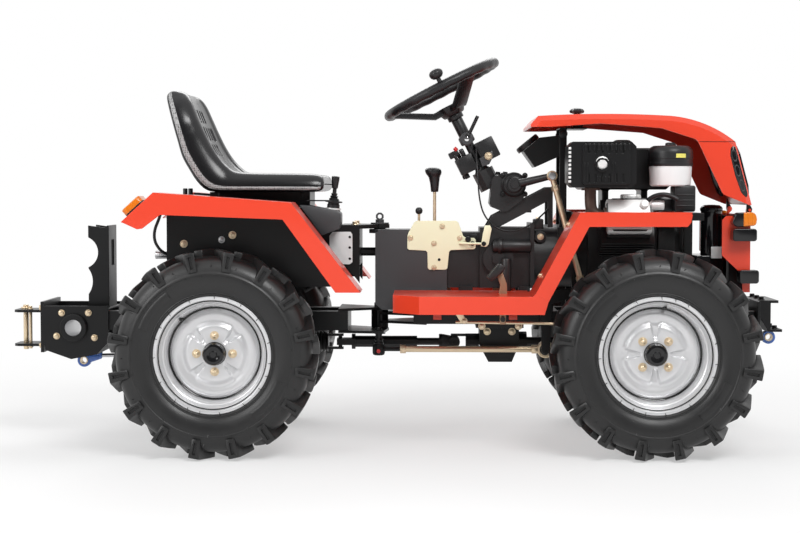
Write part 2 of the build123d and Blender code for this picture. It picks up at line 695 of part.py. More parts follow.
# Shift gate on the tunnel's right side, with its two levers
with BuildPart() as shift_plate:
    plate([(64, 375), (195, 375), (213, 324), (250, 322), (250, 288), (169, 285), (163, 225), (103, 225),
           (102, 283), (40, 286), (41, 333)], (-tunnel_half - 4, -tunnel_half), corner=5)
save(shift_plate.part, "shift_plate")

with BuildPart() as shift_levers:
    rod_z(124, -40, 5, (348, 466), sides=6)
    taper_z(124, -40, [(463, 9), (515, 15), (525, 19), (538, 17)], 8)
    rod_z(76, -40, 4, (348, 397), sides=6)
    taper_z(76, -40, [(397, 7), (406, 11), (415, 7)], 8)
save(shift_levers.part, "shift_levers")

# Rear half frame: rails, gussets, the ears of the lower joint with the steering arm, the upper joint bar
with BuildPart() as rear_frame:
    for side in (-1, 1):
        box((-930, -140), pair(side, rail_in, rail_out), rear_rail_z)
        plate([(-560, rear_rail_z[1]), (-350, rear_rail_z[1]), (-230, 220), (-150, 245), (-104, 185),
               (-104, 351), (-163, 351), (-250, deck_z - 5), (-560, deck_z - 5)], pair(side, 100, 106))
    for x in ((-160, -140), (-930, -905)):
        box(x, (-rail_in, rail_in), rear_rail_z)
    plan([(-170, -rail_out), (pivot_x, -28), (pivot_x, 28), (-170, rail_out)], (99, 107))
    plan([(-170, -rail_out), (pivot_x - 16, arm_y - 14), (pivot_x + 16, arm_y - 14), (pivot_x + 28, 0),
          (pivot_x, 28), (-170, rail_out)], (33, 41))
    for z in ((99, 107), (33, 41)):
        rod_z(pivot_x, 0, 28, z, sides=10)
    rod_z(pivot_x, arm_y, 7 + running_gap, (32, 42), sides=8, mode=Mode.SUBTRACT)
    rod_z(pivot_x, 0, king_bolt_r, (33, 107))
    for z in ((107, 119), (22, 33)):
        rod_z(pivot_x, 0, 17, z, sides=6)
    plate([(-112, 240), (-104, 240), (-104, 351), (-112, 351)], (-106, 106))
    plan([(-163, -106), (-104, -106), (pivot_x, -30), (pivot_x, 30), (-104, 106), (-163, 106)], (351, 363))
    rod_z(pivot_x, 0, 30, (351, 363), sides=10)
    rod_z(pivot_x, 0, upper_pin_r + running_gap, (350, 364), sides=8, mode=Mode.SUBTRACT)
    rod_x(0, 278, 13, (-112, pivot_x - 10), sides=8)
    box((pivot_x - 12, pivot_x + 12), (-12, 12), (266, 290))
save(rear_frame.part, "rear_frame")

# Seat box: side walls, top, back, sloping front and the seat's base
box_rear_x = -664
box_front_x = -301
box_foot_z = 185
with BuildPart() as rear_body:
    for side in (-1, 1):
        plate([(box_rear_x, box_foot_z), (-130, box_foot_z), (box_front_x + 1, deck_z + 17),
               (box_rear_x, deck_z + 44)], pair(side, body_half - sheet, body_half))
        plate([(box_front_x - 4, deck_z), (-175, box_foot_z), (-171.5, box_foot_z + 2),
               (box_front_x - 0.5, deck_z + 2)], pair(side, 112, body_half - sheet))
    box((box_rear_x, box_front_x), (sheet - body_half, body_half - sheet), (deck_z - 5, deck_z))
    box((box_rear_x, box_rear_x + sheet), (sheet - body_half, body_half - sheet), (box_foot_z, deck_z - 5))
    box((-560, -255), (-104, 104), (deck_z, deck_z + 46))
save(rear_body.part, "rear_body")

# Rear fenders: outer band and bent top, from the tail to the floor
rear_fender_line = [(-770, deck_z - 39), (-678, deck_z + 45), (-285, deck_z + 16), (-88, 177)]
rear_fender_lower = [(-159, 177), (-309, deck_z - 32), (-658, deck_z - 19), (-709, deck_z - 58),
                     (-724, deck_z - 60)]
rear_fender_inside = [(-91.6, 177), (-286.4, deck_z + 12.9), (-677, deck_z + 41.7), (-768, deck_z - 41.4)]
with BuildPart() as rear_fenders:
    plate(rear_fender_line + rear_fender_lower, (rear_fender_out - sheet, rear_fender_out))
    plate(rear_fender_line + rear_fender_inside, (body_half, rear_fender_out - sheet))
    mirror(about=Plane.XZ)
save(rear_fenders.part, "rear_fenders")

# Seat: one moulded bucket with bevelled sides, a dished middle and grooves in the back
seat_half = 220
seat_corner = 62
seat_z = deck_z + 46
seat_outline = [
    # x, height over the seat's base: up the back's rear, over its top, down the front, along the cushion
    (-580, 22), (-627, 97), (-681, 287), (-668, 301), (-636, 304), (-612, 286), (-560, 167), (-521, 102),
    (-480, 59), (-225, 54), (-207, 37), (-209, 9), (-255, 0), (-546, 0),
]
sitting_line = [(-605, 270), (-560, 167), (-521, 102), (-480, 59), (-250, 54.5)]
dish_depth = (-11, -9)
back_low, back_high = Vector(-560, 0, seat_z + 167), Vector(-612, 0, seat_z + 286)
back_plane = Plane(origin=(back_low + back_high) / 2, x_dir=(0, 1, 0), z_dir=(119, 0, 52))
with BuildPart() as seat:
    with BuildSketch(Plane.XZ.offset(-seat_half)) as profile:
        Polygon(*[(x, seat_z + z) for x, z in seat_outline], align=None)
    extrude(profile.sketch, amount=2 * seat_half)
    sides = [e for e in seat.edges() if abs(abs(e.center().Y) - seat_half) < 0.1]
    chamfer([e for e in sides if e.center().Z > seat_z + 20], 18)
    back_top = seat_z + 305
    for side in (-1, 1):
        with BuildSketch(Plane.YZ.offset(-700)) as corner:
            Polygon((side * seat_half, back_top), (side * (seat_half - seat_corner), back_top),
                    (side * seat_half, back_top - seat_corner), align=None)
        extrude(corner.sketch, amount=120, mode=Mode.SUBTRACT)
    dish = [(x, seat_z + z) for x, z in sitting_line]
    dish += [(x + dish_depth[0], z + dish_depth[1]) for x, z in reversed(dish)]
    plate(dish, (-150, 150), mode=Mode.SUBTRACT)
    with BuildSketch(back_plane) as slots:
        for across, count in ((34, 5), (-26, 5)):
            with Locations((0, across)):
                with GridLocations(36, 0, count, 1):
                    Rectangle(12, 42)
    extrude(slots.sketch, amount=-20, mode=Mode.SUBTRACT)
save(seat.part, "seat")

# Tail lamps on the sloping tail of each fender
tail_low, tail_high = [Vector(x, 355, z) for x, z in rear_fender_line[:2]]
tail_up = tail_high - tail_low
tail_middle = (tail_low + tail_high) / 2 + tail_up.normalized() * -12
tail_plane = Plane(origin=tail_middle, x_dir=tail_up, z_dir=(-tail_up.Z, 0, tail_up.X))
with BuildPart() as tail_lamps:
    with BuildSketch(tail_plane) as base:
        Rectangle(66, 90)
        chamfer(base.vertices(), 8)
    extrude(base.sketch, amount=26)
    mirror(about=Plane.XZ)
save(tail_lamps.part, "tail_lamps")

# Lift control console with its stick
stick = (-182, -156)
with BuildPart() as lift_control:
    plate([(-281, deck_z + 8), (-156, deck_z - 13), (-156, deck_z - 51), (-163, deck_z - 65),
           (-215, deck_z - 84)], (-200, -106))
    rod_z(*stick, 20, (deck_z - 13, deck_z + 21), sides=10)
    taper_z(*stick, [(deck_z + 21, 17), (deck_z + 30, 7), (deck_z + 50, 7)], 8)
    taper_z(*stick, [(deck_z + 50, 8), (deck_z + 93, 13)], 8)
save(lift_control.part, "lift_control")

# Rear hitch: side plates on the rails, cross tube, flange and the two jaws of the pin bracket
jaw_z = ((-15, -7), (90, 98))
cross_tube = (-978, 49)
main_pin = (-1153, 0)
lock_pin = (-1133, -22)
with BuildPart() as rear_hitch:
    for side in (-1, 1):
        plate([(-1070, 4), (-1070, 115), (-872, 115), (-872, 4), (-908, -33), (-987, -48), (-1066, -20)],
              pair(side, rail_out, 113))
    rod_y(*cross_tube, 35, (-125, 125), sides=14)
    rod_y(*cross_tube, 25, (-126, 126), mode=Mode.SUBTRACT)
    box((-1080, -1070), (-113, 113), (-27, 128))
    for z in jaw_z:
        plan([(-1080, -45), (-1168, -45), (-1180, -33), (-1180, 33), (-1168, 45), (-1080, 45)], z)
        rod_z(*main_pin, 8 + running_gap, z, sides=8, mode=Mode.SUBTRACT)
        rod_z(*lock_pin, 5 + running_gap, z, sides=8, mode=Mode.SUBTRACT)
    box((-935, -910), (-rail_out, rail_out), (-35, 0))
save(rear_hitch.part, "rear_hitch")

with BuildPart() as hitch_pins:
    rod_z(*main_pin, 8, (-28, 100), sides=8)
    rod_z(*main_pin, 15, (98, 104), sides=8)
    rod_z(*lock_pin, 5, (-24, 100), sides=8)
    rod_z(*lock_pin, 8, (98, 102), sides=8)
save(hitch_pins.part, "hitch_pins")

# Lift tower: an upright channel with scalloped flanges and a slotted web
tower_half = 61
tower_x = (-943, -879)
tower_top = 360
with BuildPart() as lift_tower:
    box((-928, -872), (-rail_out, rail_out), (99, 107))
    for side in (-1, 1):
        plate([(tower_x[0], 107), (tower_x[1] - 6, 107), (tower_x[1] - 6, tower_top - 8),
               (tower_x[0], tower_top)], pair(side, tower_half - 6, tower_half))
    for x, z, radius in ((-996, 188, 66), (-963, 277, 50)):
        rod_y(x, z, radius, (-tower_half - 1, tower_half + 1), mode=Mode.SUBTRACT)
    box((tower_x[1] - 6, tower_x[1]), (-tower_half, tower_half), (107, tower_top))
    box((tower_x[1] - 7, tower_x[1] + 1), (-20, 20), (235, 315), mode=Mode.SUBTRACT)
save(lift_tower.part, "lift_tower")

with BuildPart() as rear_tow_eye:
    tow_eye(-970, -62)
    box((-956, -915), (-eye_half, eye_half), (-55, -35))
save(rear_tow_eye.part, "rear_tow_eye")
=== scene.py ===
import json
import math

import bmesh
import bpy
from mathutils import Matrix, Vector

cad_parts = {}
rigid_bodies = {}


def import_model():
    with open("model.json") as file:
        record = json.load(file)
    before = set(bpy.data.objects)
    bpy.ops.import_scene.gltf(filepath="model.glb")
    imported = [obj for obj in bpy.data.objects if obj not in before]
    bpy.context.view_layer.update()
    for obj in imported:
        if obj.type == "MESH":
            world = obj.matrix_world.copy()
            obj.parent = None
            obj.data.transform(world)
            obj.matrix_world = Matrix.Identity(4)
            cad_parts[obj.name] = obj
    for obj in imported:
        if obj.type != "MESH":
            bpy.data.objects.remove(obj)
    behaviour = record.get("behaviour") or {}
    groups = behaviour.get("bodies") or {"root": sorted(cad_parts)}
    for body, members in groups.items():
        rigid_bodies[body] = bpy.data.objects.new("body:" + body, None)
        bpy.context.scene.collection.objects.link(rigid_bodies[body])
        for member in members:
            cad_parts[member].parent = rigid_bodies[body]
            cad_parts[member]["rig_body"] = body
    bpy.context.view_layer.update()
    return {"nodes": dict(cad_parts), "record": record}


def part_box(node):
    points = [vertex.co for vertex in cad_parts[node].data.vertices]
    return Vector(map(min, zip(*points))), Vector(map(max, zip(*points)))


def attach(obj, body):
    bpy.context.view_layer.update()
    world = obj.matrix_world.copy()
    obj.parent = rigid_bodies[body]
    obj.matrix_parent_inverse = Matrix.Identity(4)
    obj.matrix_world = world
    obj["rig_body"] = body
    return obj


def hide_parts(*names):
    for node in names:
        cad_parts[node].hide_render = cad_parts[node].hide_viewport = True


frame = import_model()

MM = 0.001
# Heights in this script are in millimetres from the line of the axles, as in the part's source.
AXLE_HEIGHT = 300

# The photograph's camera: where it stood, how it was turned and its lens, on an 800 by 533 picture.
CAMERA_PLACE = Vector((0.110, -4.9475, 0.769))
CAMERA_YAW = math.radians(1.08)
CAMERA_PITCH = math.radians(2.75)
CAMERA_LENS_MM = 71.7

SMOOTH_ANGLE = math.radians(34)
ROUND_ANGLE = math.radians(47)


# Shader groups


def math_node(nodes, operation):
    made = nodes.new("ShaderNodeMath")
    made.operation = operation
    return made


def new_group(name, inputs, outputs):
    tree = bpy.data.node_groups.new(name, "ShaderNodeTree")
    for socket, kind, value in inputs:
        made = tree.interface.new_socket(name=socket, in_out="INPUT", socket_type=kind)
        made.default_value = value
    for socket, kind in outputs:
        tree.interface.new_socket(name=socket, in_out="OUTPUT", socket_type=kind)
    entry = tree.nodes.new("NodeGroupInput")
    leave = tree.nodes.new("NodeGroupOutput")
    return tree, entry, leave


def make_patina_group():
    """Slow blotches and fine specks over a finish: its colour, roughness and a height for bump."""
    tree, entry, leave = new_group(
        "patina",
        [
            ("Colour", "NodeSocketColor", (0.5, 0.5, 0.5, 1)),
            ("Second Colour", "NodeSocketColor", (0.4, 0.4, 0.4, 1)),
            ("Blotch Scale", "NodeSocketFloat", 8.0),
            ("Blotch Amount", "NodeSocketFloat", 0.3),
            ("Grain Scale", "NodeSocketFloat", 400.0),
            ("Roughness", "NodeSocketFloat", 0.4),
            ("Roughness Spread", "NodeSocketFloat", 0.1),
        ],
        [("Colour", "NodeSocketColor"), ("Roughness", "NodeSocketFloat"), ("Height", "NodeSocketFloat")],
    )
    place = tree.nodes.new("ShaderNodeTexCoord")
    blotch = tree.nodes.new("ShaderNodeTexNoise")
    blotch.inputs["Detail"].default_value = 4
    grain = tree.nodes.new("ShaderNodeTexNoise")
    grain.inputs["Detail"].default_value = 2
    amount = math_node(tree.nodes, "MULTIPLY")
    mix = tree.nodes.new("ShaderNodeMix")
    mix.data_type = "RGBA"
    centred = math_node(tree.nodes, "SUBTRACT")
    centred.inputs[1].default_value = 0.5
    rough = math_node(tree.nodes, "MULTIPLY_ADD")
    link = tree.links.new
    link(place.outputs["Object"], blotch.inputs["Vector"])
    link(place.outputs["Object"], grain.inputs["Vector"])
    link(entry.outputs["Blotch Scale"], blotch.inputs["Scale"])
    link(entry.outputs["Grain Scale"], grain.inputs["Scale"])
    link(blotch.outputs["Fac"], amount.inputs[0])
    link(entry.outputs["Blotch Amount"], amount.inputs[1])
    link(amount.outputs[0], mix.inputs[0])
    link(entry.outputs["Colour"], mix.inputs[6])
    link(entry.outputs["Second Colour"], mix.inputs[7])
    link(blotch.outputs["Fac"], centred.inputs[0])
    link(centred.outputs[0], rough.inputs[0])
    link(entry.outputs["Roughness Spread"], rough.inputs[1])
    link(entry.outputs["Roughness"], rough.inputs[2])
    link(mix.outputs[2], leave.inputs["Colour"])
    link(rough.outputs[0], leave.inputs["Roughness"])
    link(grain.outputs["Fac"], leave.inputs["Height"])
    return tree


PATINA = make_patina_group()


def finish_of(name, colour, second=None, rough=0.4, spread=0.1, metal=0.0, coat=0.0, blotch=0.3,
              blotch_scale=8.0, grain=400.0, bump=0.0, bump_distance=0.0005, shine=0.5):
    """A material of one finish, with the patina group feeding its shader."""
    made = bpy.data.materials.new(name)
    made.use_nodes = True
    nodes, link = made.node_tree.nodes, made.node_tree.links.new
    shader = nodes["Principled BSDF"]
    shader.inputs["Metallic"].default_value = metal
    shader.inputs["Coat Weight"].default_value = coat
    shader.inputs["Coat Roughness"].default_value = 0.06
    shader.inputs["Specular IOR Level"].default_value = shine
    patina = nodes.new("ShaderNodeGroup")
    patina.node_tree = PATINA
    second = second or tuple(c * 0.7 for c in colour)
    values = {
        "Colour": (*colour, 1), "Second Colour": (*second, 1), "Blotch Scale": blotch_scale,
        "Blotch Amount": blotch, "Grain Scale": grain, "Roughness": rough, "Roughness Spread": spread,
    }
    for socket, value in values.items():
        patina.inputs[socket].default_value = value
    link(patina.outputs["Colour"], shader.inputs["Base Color"])
    link(patina.outputs["Roughness"], shader.inputs["Roughness"])
    if bump:
        lift = nodes.new("ShaderNodeBump")
        lift.inputs["Strength"].default_value = bump
        lift.inputs["Distance"].default_value = bump_distance
        link(patina.outputs["Height"], lift.inputs["Height"])
        link(lift.outputs["Normal"], shader.inputs["Normal"])
    return made


def make_perforated():
    """The seat's pale edging: rows of small dark holes in light vinyl."""
    made = finish_of("perforated edging", (0.36, 0.36, 0.36), (0.28, 0.28, 0.28), rough=0.4)
    nodes, link = made.node_tree.nodes, made.node_tree.links.new
    place = nodes.new("ShaderNodeTexCoord")
    holes = nodes.new("ShaderNodeTexVoronoi")
    holes.inputs["Scale"].default_value = 190
    holes.inputs["Randomness"].default_value = 0.25
    edge = nodes.new("ShaderNodeMapRange")
    edge.inputs["From Min"].default_value = 0.28
    edge.inputs["From Max"].default_value = 0.42
    mix = nodes.new("ShaderNodeMix")
    mix.data_type = "RGBA"
    mix.inputs[6].default_value = (0.03, 0.03, 0.03, 1)
    link(place.outputs["Object"], holes.inputs["Vector"])
    link(holes.outputs["Distance"], edge.inputs["Value"])
    link(edge.outputs["Result"], mix.inputs[0])
    shader = nodes["Principled BSDF"]
    link(shader.inputs["Base Color"].links[0].from_socket, mix.inputs[7])
    link(mix.outputs[2], shader.inputs["Base Color"])
    return made


RED = finish_of("red enamel", (0.72, 0.046, 0.014), (0.68, 0.040, 0.012), rough=0.34, spread=0.06,
                coat=0.4, shine=0.4)
BLACK = finish_of("black enamel", (0.0045, 0.0045, 0.005), (0.009, 0.009, 0.009), rough=0.36, spread=0.15,
                  shine=0.32)
CASTING = finish_of("black casting", (0.010, 0.010, 0.011), (0.026, 0.025, 0.024), rough=0.42,
                    spread=0.25, bump=0.7, grain=240.0, shine=0.5)
GREY = finish_of("dark grey enamel", (0.045, 0.046, 0.049), (0.035, 0.036, 0.039), rough=0.42)
RUBBER = finish_of("tyre rubber", (0.008, 0.008, 0.0085), (0.018, 0.0175, 0.017), rough=0.40, spread=0.22,
                   bump=0.35, blotch=0.5, blotch_scale=14.0, shine=0.5)
ENAMEL = finish_of("silver enamel", (0.70, 0.70, 0.71), (0.60, 0.60, 0.61), rough=0.35, metal=0.6,
                   blotch=0.4)
ALLOY = finish_of("cast alloy", (0.80, 0.80, 0.79), (0.66, 0.66, 0.65), rough=0.40, metal=0.4, bump=0.3)
STEEL = finish_of("machined steel", (0.52, 0.52, 0.53), (0.36, 0.36, 0.36), rough=0.30, metal=1.0)
CHROME = finish_of("bright plate", (0.86, 0.86, 0.86), (0.75, 0.75, 0.75), rough=0.12, metal=1.0)
ZINC = finish_of("yellow zinc plate", (0.80, 0.66, 0.42), (0.68, 0.52, 0.42), rough=0.32, metal=0.8,
                 blotch=0.7, blotch_scale=22.0)
PALE_ZINC = finish_of("pale zinc plate", (0.82, 0.83, 0.60), (0.82, 0.79, 0.53), rough=0.42, metal=0.1,
                      blotch=0.5, blotch_scale=12.0)
PLASTIC = finish_of("black plastic", (0.009, 0.009, 0.010), rough=0.40, spread=0.1, bump=0.2, shine=0.45)
GLOSS = finish_of("dark gloss and painted rim shade", (0.006, 0.006, 0.007), rough=0.10)
VINYL = finish_of("black vinyl", (0.005, 0.005, 0.006), (0.009, 0.009, 0.010), rough=0.24, spread=0.1,
                  shine=0.5)
EDGING = make_perforated()
AMBER = finish_of("amber lens", (0.74, 0.21, 0.008), (0.55, 0.11, 0.006), rough=0.15, blotch=0.6,
                  blotch_scale=40.0)
BLUE = finish_of("blue enamel", (0.075, 0.18, 0.56), rough=0.35, coat=0.2)
WHITE = finish_of("white plastic", (0.74, 0.74, 0.74), (0.66, 0.66, 0.66), rough=0.35)
PIPE = finish_of("heat-stained pipe", (0.10, 0.065, 0.05), (0.05, 0.032, 0.028), rough=0.5, spread=0.2,
                 metal=0.5, blotch=0.8, blotch_scale=30.0)
BRONZE = finish_of("bare pedal steel", (0.42, 0.26, 0.16), (0.30, 0.18, 0.12), rough=0.4, metal=0.6,
                   blotch=0.6)
LABEL = finish_of("yellow label", (0.75, 0.68, 0.14), rough=0.5)
MARK = finish_of("red plastic", (0.60, 0.02, 0.02), rough=0.35)

NODE_SLOT = {piece["node"]: piece["material_slot"] for piece in frame["record"]["subparts"]}
NODE_BODY = {node: piece["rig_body"] for node, piece in frame["nodes"].items()}


# Forms


def at(x, y, z):
    """A point of the tractor from millimetres."""
    return Vector((x, y, z + AXLE_HEIGHT)) * MM


def facing(start, direction):
    """Sets a form that was made along its own Z axis at a point, along a direction."""
    return Matrix.Translation(start) @ Vector(direction).to_track_quat("Z", "Y").to_matrix().to_4x4()


def join(made, part, place=Matrix()):
    """Adds a part to a piece, set in its place."""
    mesh = bpy.data.meshes.new("part")
    part.to_mesh(mesh)
    mesh.transform(place)
    if place.determinant() < 0:
        mesh.flip_normals()
    made.from_mesh(mesh)
    bpy.data.meshes.remove(mesh)


def ease_edges(made, width, least=math.radians(30), segments=2):
    """Rounds the edges sharper than the least angle, by a width in millimetres."""
    edges = [e for e in made.edges if len(e.link_faces) == 2 and e.calc_face_angle(0) > least]
    if edges and width:
        bmesh.ops.bevel(made, geom=edges, offset=width * MM, offset_type="OFFSET", affect="EDGES",
                        segments=segments, profile=0.5, material=-1, clamp_overlap=True)


def spun(made, outline, place, steps=48, angle=math.tau):
    """Turns an outline of (along, radius) in millimetres about the place's Z axis."""
    part = bmesh.new()
    points = [part.verts.new((radius * MM, 0, along * MM)) for along, radius in outline]
    edges = [part.edges.new(two) for two in zip(points, points[1:])]
    full = abs(angle - math.tau) < 1e-6
    bmesh.ops.spin(part, geom=points + edges, cent=(0, 0, 0), axis=(0, 0, 1), dvec=(0, 0, 0), angle=angle,
                   steps=steps, use_merge=full)
    bmesh.ops.remove_doubles(part, verts=part.verts, dist=1e-6)
    if not full:
        bmesh.ops.holes_fill(part, edges=part.edges, sides=0)
    bmesh.ops.recalc_face_normals(part, faces=part.faces)
    join(made, part, place)
    part.free()


def bar(made, start, end, radius, tip=None, sides=24, ease=0):
    """A round bar between two points, with its edges eased."""
    part = bmesh.new()
    run = end - start
    bmesh.ops.create_cone(part, cap_ends=True, segments=sides, radius1=radius * MM,
                          radius2=(radius if tip is None else tip) * MM, depth=run.length)
    ease_edges(part, ease, math.radians(50))
    join(made, part, facing(start + run / 2, run))
    part.free()


def block(made, low, high, ease=2.0, place=Matrix()):
    """A block between two corners in millimetres, with its edges eased."""
    part = bmesh.new()
    bmesh.ops.create_cube(part, size=1)
    low, high = at(*low), at(*high)
    bmesh.ops.scale(part, vec=high - low, verts=part.verts)
    ease_edges(part, ease)
    bmesh.ops.translate(part, vec=(low + high) / 2, verts=part.verts)
    join(made, part, place)
    part.free()


def slab(made, outline, y, ease=1.5, place=Matrix()):
    """A flat plate from its side outline in (x, z), between two values of Y."""
    part = bmesh.new()
    face = part.faces.new([part.verts.new(at(x, y[0], z)) for x, z in outline])
    grown = bmesh.ops.extrude_face_region(part, geom=[face])["geom"]
    bmesh.ops.translate(part, vec=(0, (y[1] - y[0]) * MM, 0),
                        verts=[g for g in grown if isinstance(g, bmesh.types.BMVert)])
    bmesh.ops.recalc_face_normals(part, faces=part.faces)
    ease_edges(part, ease, math.radians(20))
    join(made, part, place)
    part.free()


def hex_head(made, point, direction, across=14, height=8, washer=True):
    """A bolt's head on its washer."""
    part = bmesh.new()
    lift = 0
    if washer:
        bmesh.ops.create_cone(part, cap_ends=True, segments=20, radius1=across * 0.78 * MM,
                              radius2=across * 0.74 * MM, depth=2 * MM,
                              matrix=Matrix.Translation((0, 0, 1 * MM)))
        lift = 2
    head = bmesh.new()
    bmesh.ops.create_cone(head, cap_ends=True, segments=6, radius1=across * 0.577 * MM,
                          radius2=across * 0.577 * MM, depth=height * MM)
    ease_edges(head, 1.2)
    join(part, head, Matrix.Translation((0, 0, (lift + height / 2) * MM)))
    head.free()
    join(made, part, facing(point, direction))
    part.free()


def hex_nut(made, point, direction, radius, depth, ease):
    """A lock nut round a rod; radius and depth in millimetres."""
    nut = bmesh.new()
    bmesh.ops.create_cone(nut, cap_ends=True, segments=6, radius1=radius * MM, radius2=radius * MM,
                          depth=depth * MM)
    ease_edges(nut, ease)
    join(made, nut, facing(point, direction))
    nut.free()


def pair(side, near, far):
    """The limits of Y of a plate on one side of the tractor."""
    return sorted((side * near, side * far))


def skinned(made, rows, across, point_at, cap=False):
    """A skin from a grid whose two sides are joined: point_at gives a point from its row and turn, 0 to 1."""
    part = bmesh.new()
    grid = bmesh.ops.create_grid(part, x_segments=across, y_segments=rows, size=1)["verts"]
    for vert in grid:
        vert.co = point_at((vert.co.y + 1) / 2, (vert.co.x + 1) / 2)
    bmesh.ops.remove_doubles(part, verts=part.verts, dist=2e-5)
    if cap:
        bmesh.ops.holes_fill(part, edges=part.edges, sides=0)
    bmesh.ops.recalc_face_normals(part, faces=part.faces)
    join(made, part)
    part.free()


def along(points, share, closed=False):
    """The point at a share of the way along a smooth line through points of any size."""
    count = len(points)
    spot = min(max(share, 0.0), 0.999999) * (count if closed else count - 1)
    step, t = int(spot), spot - int(spot)
    pick = (lambda i: points[i % count]) if closed else (lambda i: points[min(max(i, 0), count - 1)])
    before, here, after, beyond = (pick(step + i) for i in (-1, 0, 1, 2))
    return [
        0.5 * (2 * b + (c - a) * t + (2 * a - 5 * b + 4 * c - d) * t**2 + (3 * b - a - 3 * c + d) * t**3)
        for a, b, c, d in zip(before, here, after, beyond)
    ]


def bent_bar(made, points, radius, rows=40, sides=16):
    """A round bar along a smooth line through points in millimetres."""
    def point_at(row, turn):
        here = at(*along(points, row))
        ahead = (at(*along(points, row + 0.01)) - at(*along(points, row - 0.01))).normalized()
        across = ahead.cross(Vector((0, 1, 0.01))).normalized()
        up = across.cross(ahead)
        spin = math.tau * turn
        return here + (across * math.cos(spin) + up * math.sin(spin)) * radius * MM
    skinned(made, rows, sides, point_at, cap=True)


def placed(name, data):
    """A new object in the scene."""
    made = bpy.data.objects.new(name, data)
    bpy.context.scene.collection.objects.link(made)
    return made


def settle(name, made, finish, body, slot, *stands_for, crease=SMOOTH_ANGLE, flat=False):
    """A finished piece: its bmesh made a mesh, smooth up to the crease angle, on its body."""
    mesh = bpy.data.meshes.new(name)
    made.to_mesh(mesh)
    made.free()
    mesh.polygons.foreach_set("use_smooth", [True] * len(mesh.polygons))
    mesh.set_sharp_from_angle(angle=crease)
    for one in finish if isinstance(finish, list) else [finish]:
        mesh.materials.append(one)
    piece = placed(name, mesh)
    if flat:
        level = piece.modifiers.new("flat faces", "WEIGHTED_NORMAL")
        level.keep_sharp = True
    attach(piece, body)
    if stands_for:
        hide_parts(*stands_for)
    return piece


def copy_of_solid(node):
    """A merged copy of a solid's mesh, its flat faces joined."""
    made = bmesh.new()
    made.from_mesh(frame["nodes"][node].data)
    bmesh.ops.remove_doubles(made, verts=made.verts, dist=0.00002)
    bmesh.ops.dissolve_limit(made, angle_limit=math.radians(0.5), verts=made.verts, edges=made.edges)
    return made


def dress(node, width, finish, crease=SMOOTH_ANGLE, paint=(), splits=()):
    """The solid with eased edges and its finish; paint lists (finish, test of a face's middle in mm)."""
    slot = NODE_SLOT[node]
    made = copy_of_solid(node)
    for point, normal in splits:
        bmesh.ops.bisect_plane(made, geom=made.verts[:] + made.edges[:] + made.faces[:],
                               plane_co=at(*point),
                               plane_no=normal)
    ease_edges(made, width)
    finishes = [finish]
    for index, (colour, test) in enumerate(paint, 1):
        finishes.append(colour)
        for face in made.faces:
            middle = face.calc_center_median() / MM
            if test(middle.x, middle.y, middle.z - AXLE_HEIGHT):
                face.material_index = index
    return settle(node + "_dressed", made, finishes, NODE_BODY[node], slot, node, crease=crease, flat=True)


# Tyres and wheels

TYRE_WALL = [
    # half width, radius
    (52, 152.8), (55, 163), (58, 169), (62, 173.5), (61.4, 175.5), (64.5, 178), (63.9, 180), (67, 184),
    (72, 196), (75, 212), (75.6, 224), (75.4, 228), (77.2, 230), (77.2, 233.5), (75.4, 235.5), (74, 241),
    (72, 250), (66, 262), (57, 271), (46, 277), (25, 280), (0, 281),
]
LUGS_PER_SIDE = 16
LUG_TURN = math.asin(34 / 300)
LUG_STATIONS = [
    # across the tread, its two sides along the tread, top radius, foot radius
    (3, -34, -10, 300, 272),
    (-22, -21, 3, 300, 271),
    (-48, -8, 18, 299.5, 266),
    (-66, 0, 29, 299, 254),
    (-77.5, 4, 36, 297, 240),
]
WALL_PAD = [
    # half width, radius: a bare raised pad on the wall, where a tyre has its lettering
    (74.6, 196), (76.2, 199), (76.8, 205), (76.8, 213), (76.2, 219), (74.6, 222), (74.6, 196),
]
PAD_MIDDLES, PAD_ARC = (38, 218), 34
WALL_HAIRS = [
    # number round the wall, radius, distance from the tyre's middle, lean outwards
    (19, 174, 62, -13), (15, 190, 69, 8), (21, 222, 75, 9), (16, 252, 71, 7),
]
ALONG_Y = facing(Vector(), (0, 1, 0))


def lug_form():
    """A slanting lug whose outer end has a slot, bent round the tread at the top of the tyre."""
    made = bmesh.new()
    last = len(LUG_STATIONS) - 1

    def point_at(row, turn):
        across, near, far, top, foot = LUG_STATIONS[round(row * last)]
        corner = round(turn * 4) % 4
        return Vector(((near, far, far, near)[corner], across, (foot, foot, top, top)[corner])) * MM

    skinned(made, last, 4, point_at, cap=True)
    ease_edges(made, 2.6, math.radians(40))
    end = min(made.faces, key=lambda f: f.normal.y * f.calc_area())
    bmesh.ops.inset_region(made, faces=[end], thickness=0.0085, use_even_offset=True)
    bmesh.ops.inset_region(made, faces=[end], thickness=0.001, depth=-0.006, use_even_offset=True)
    for vert in made.verts:
        turn, reach = vert.co.x / 0.3, vert.co.z
        vert.co.x, vert.co.z = reach * math.sin(turn), reach * math.cos(turn)
    return made


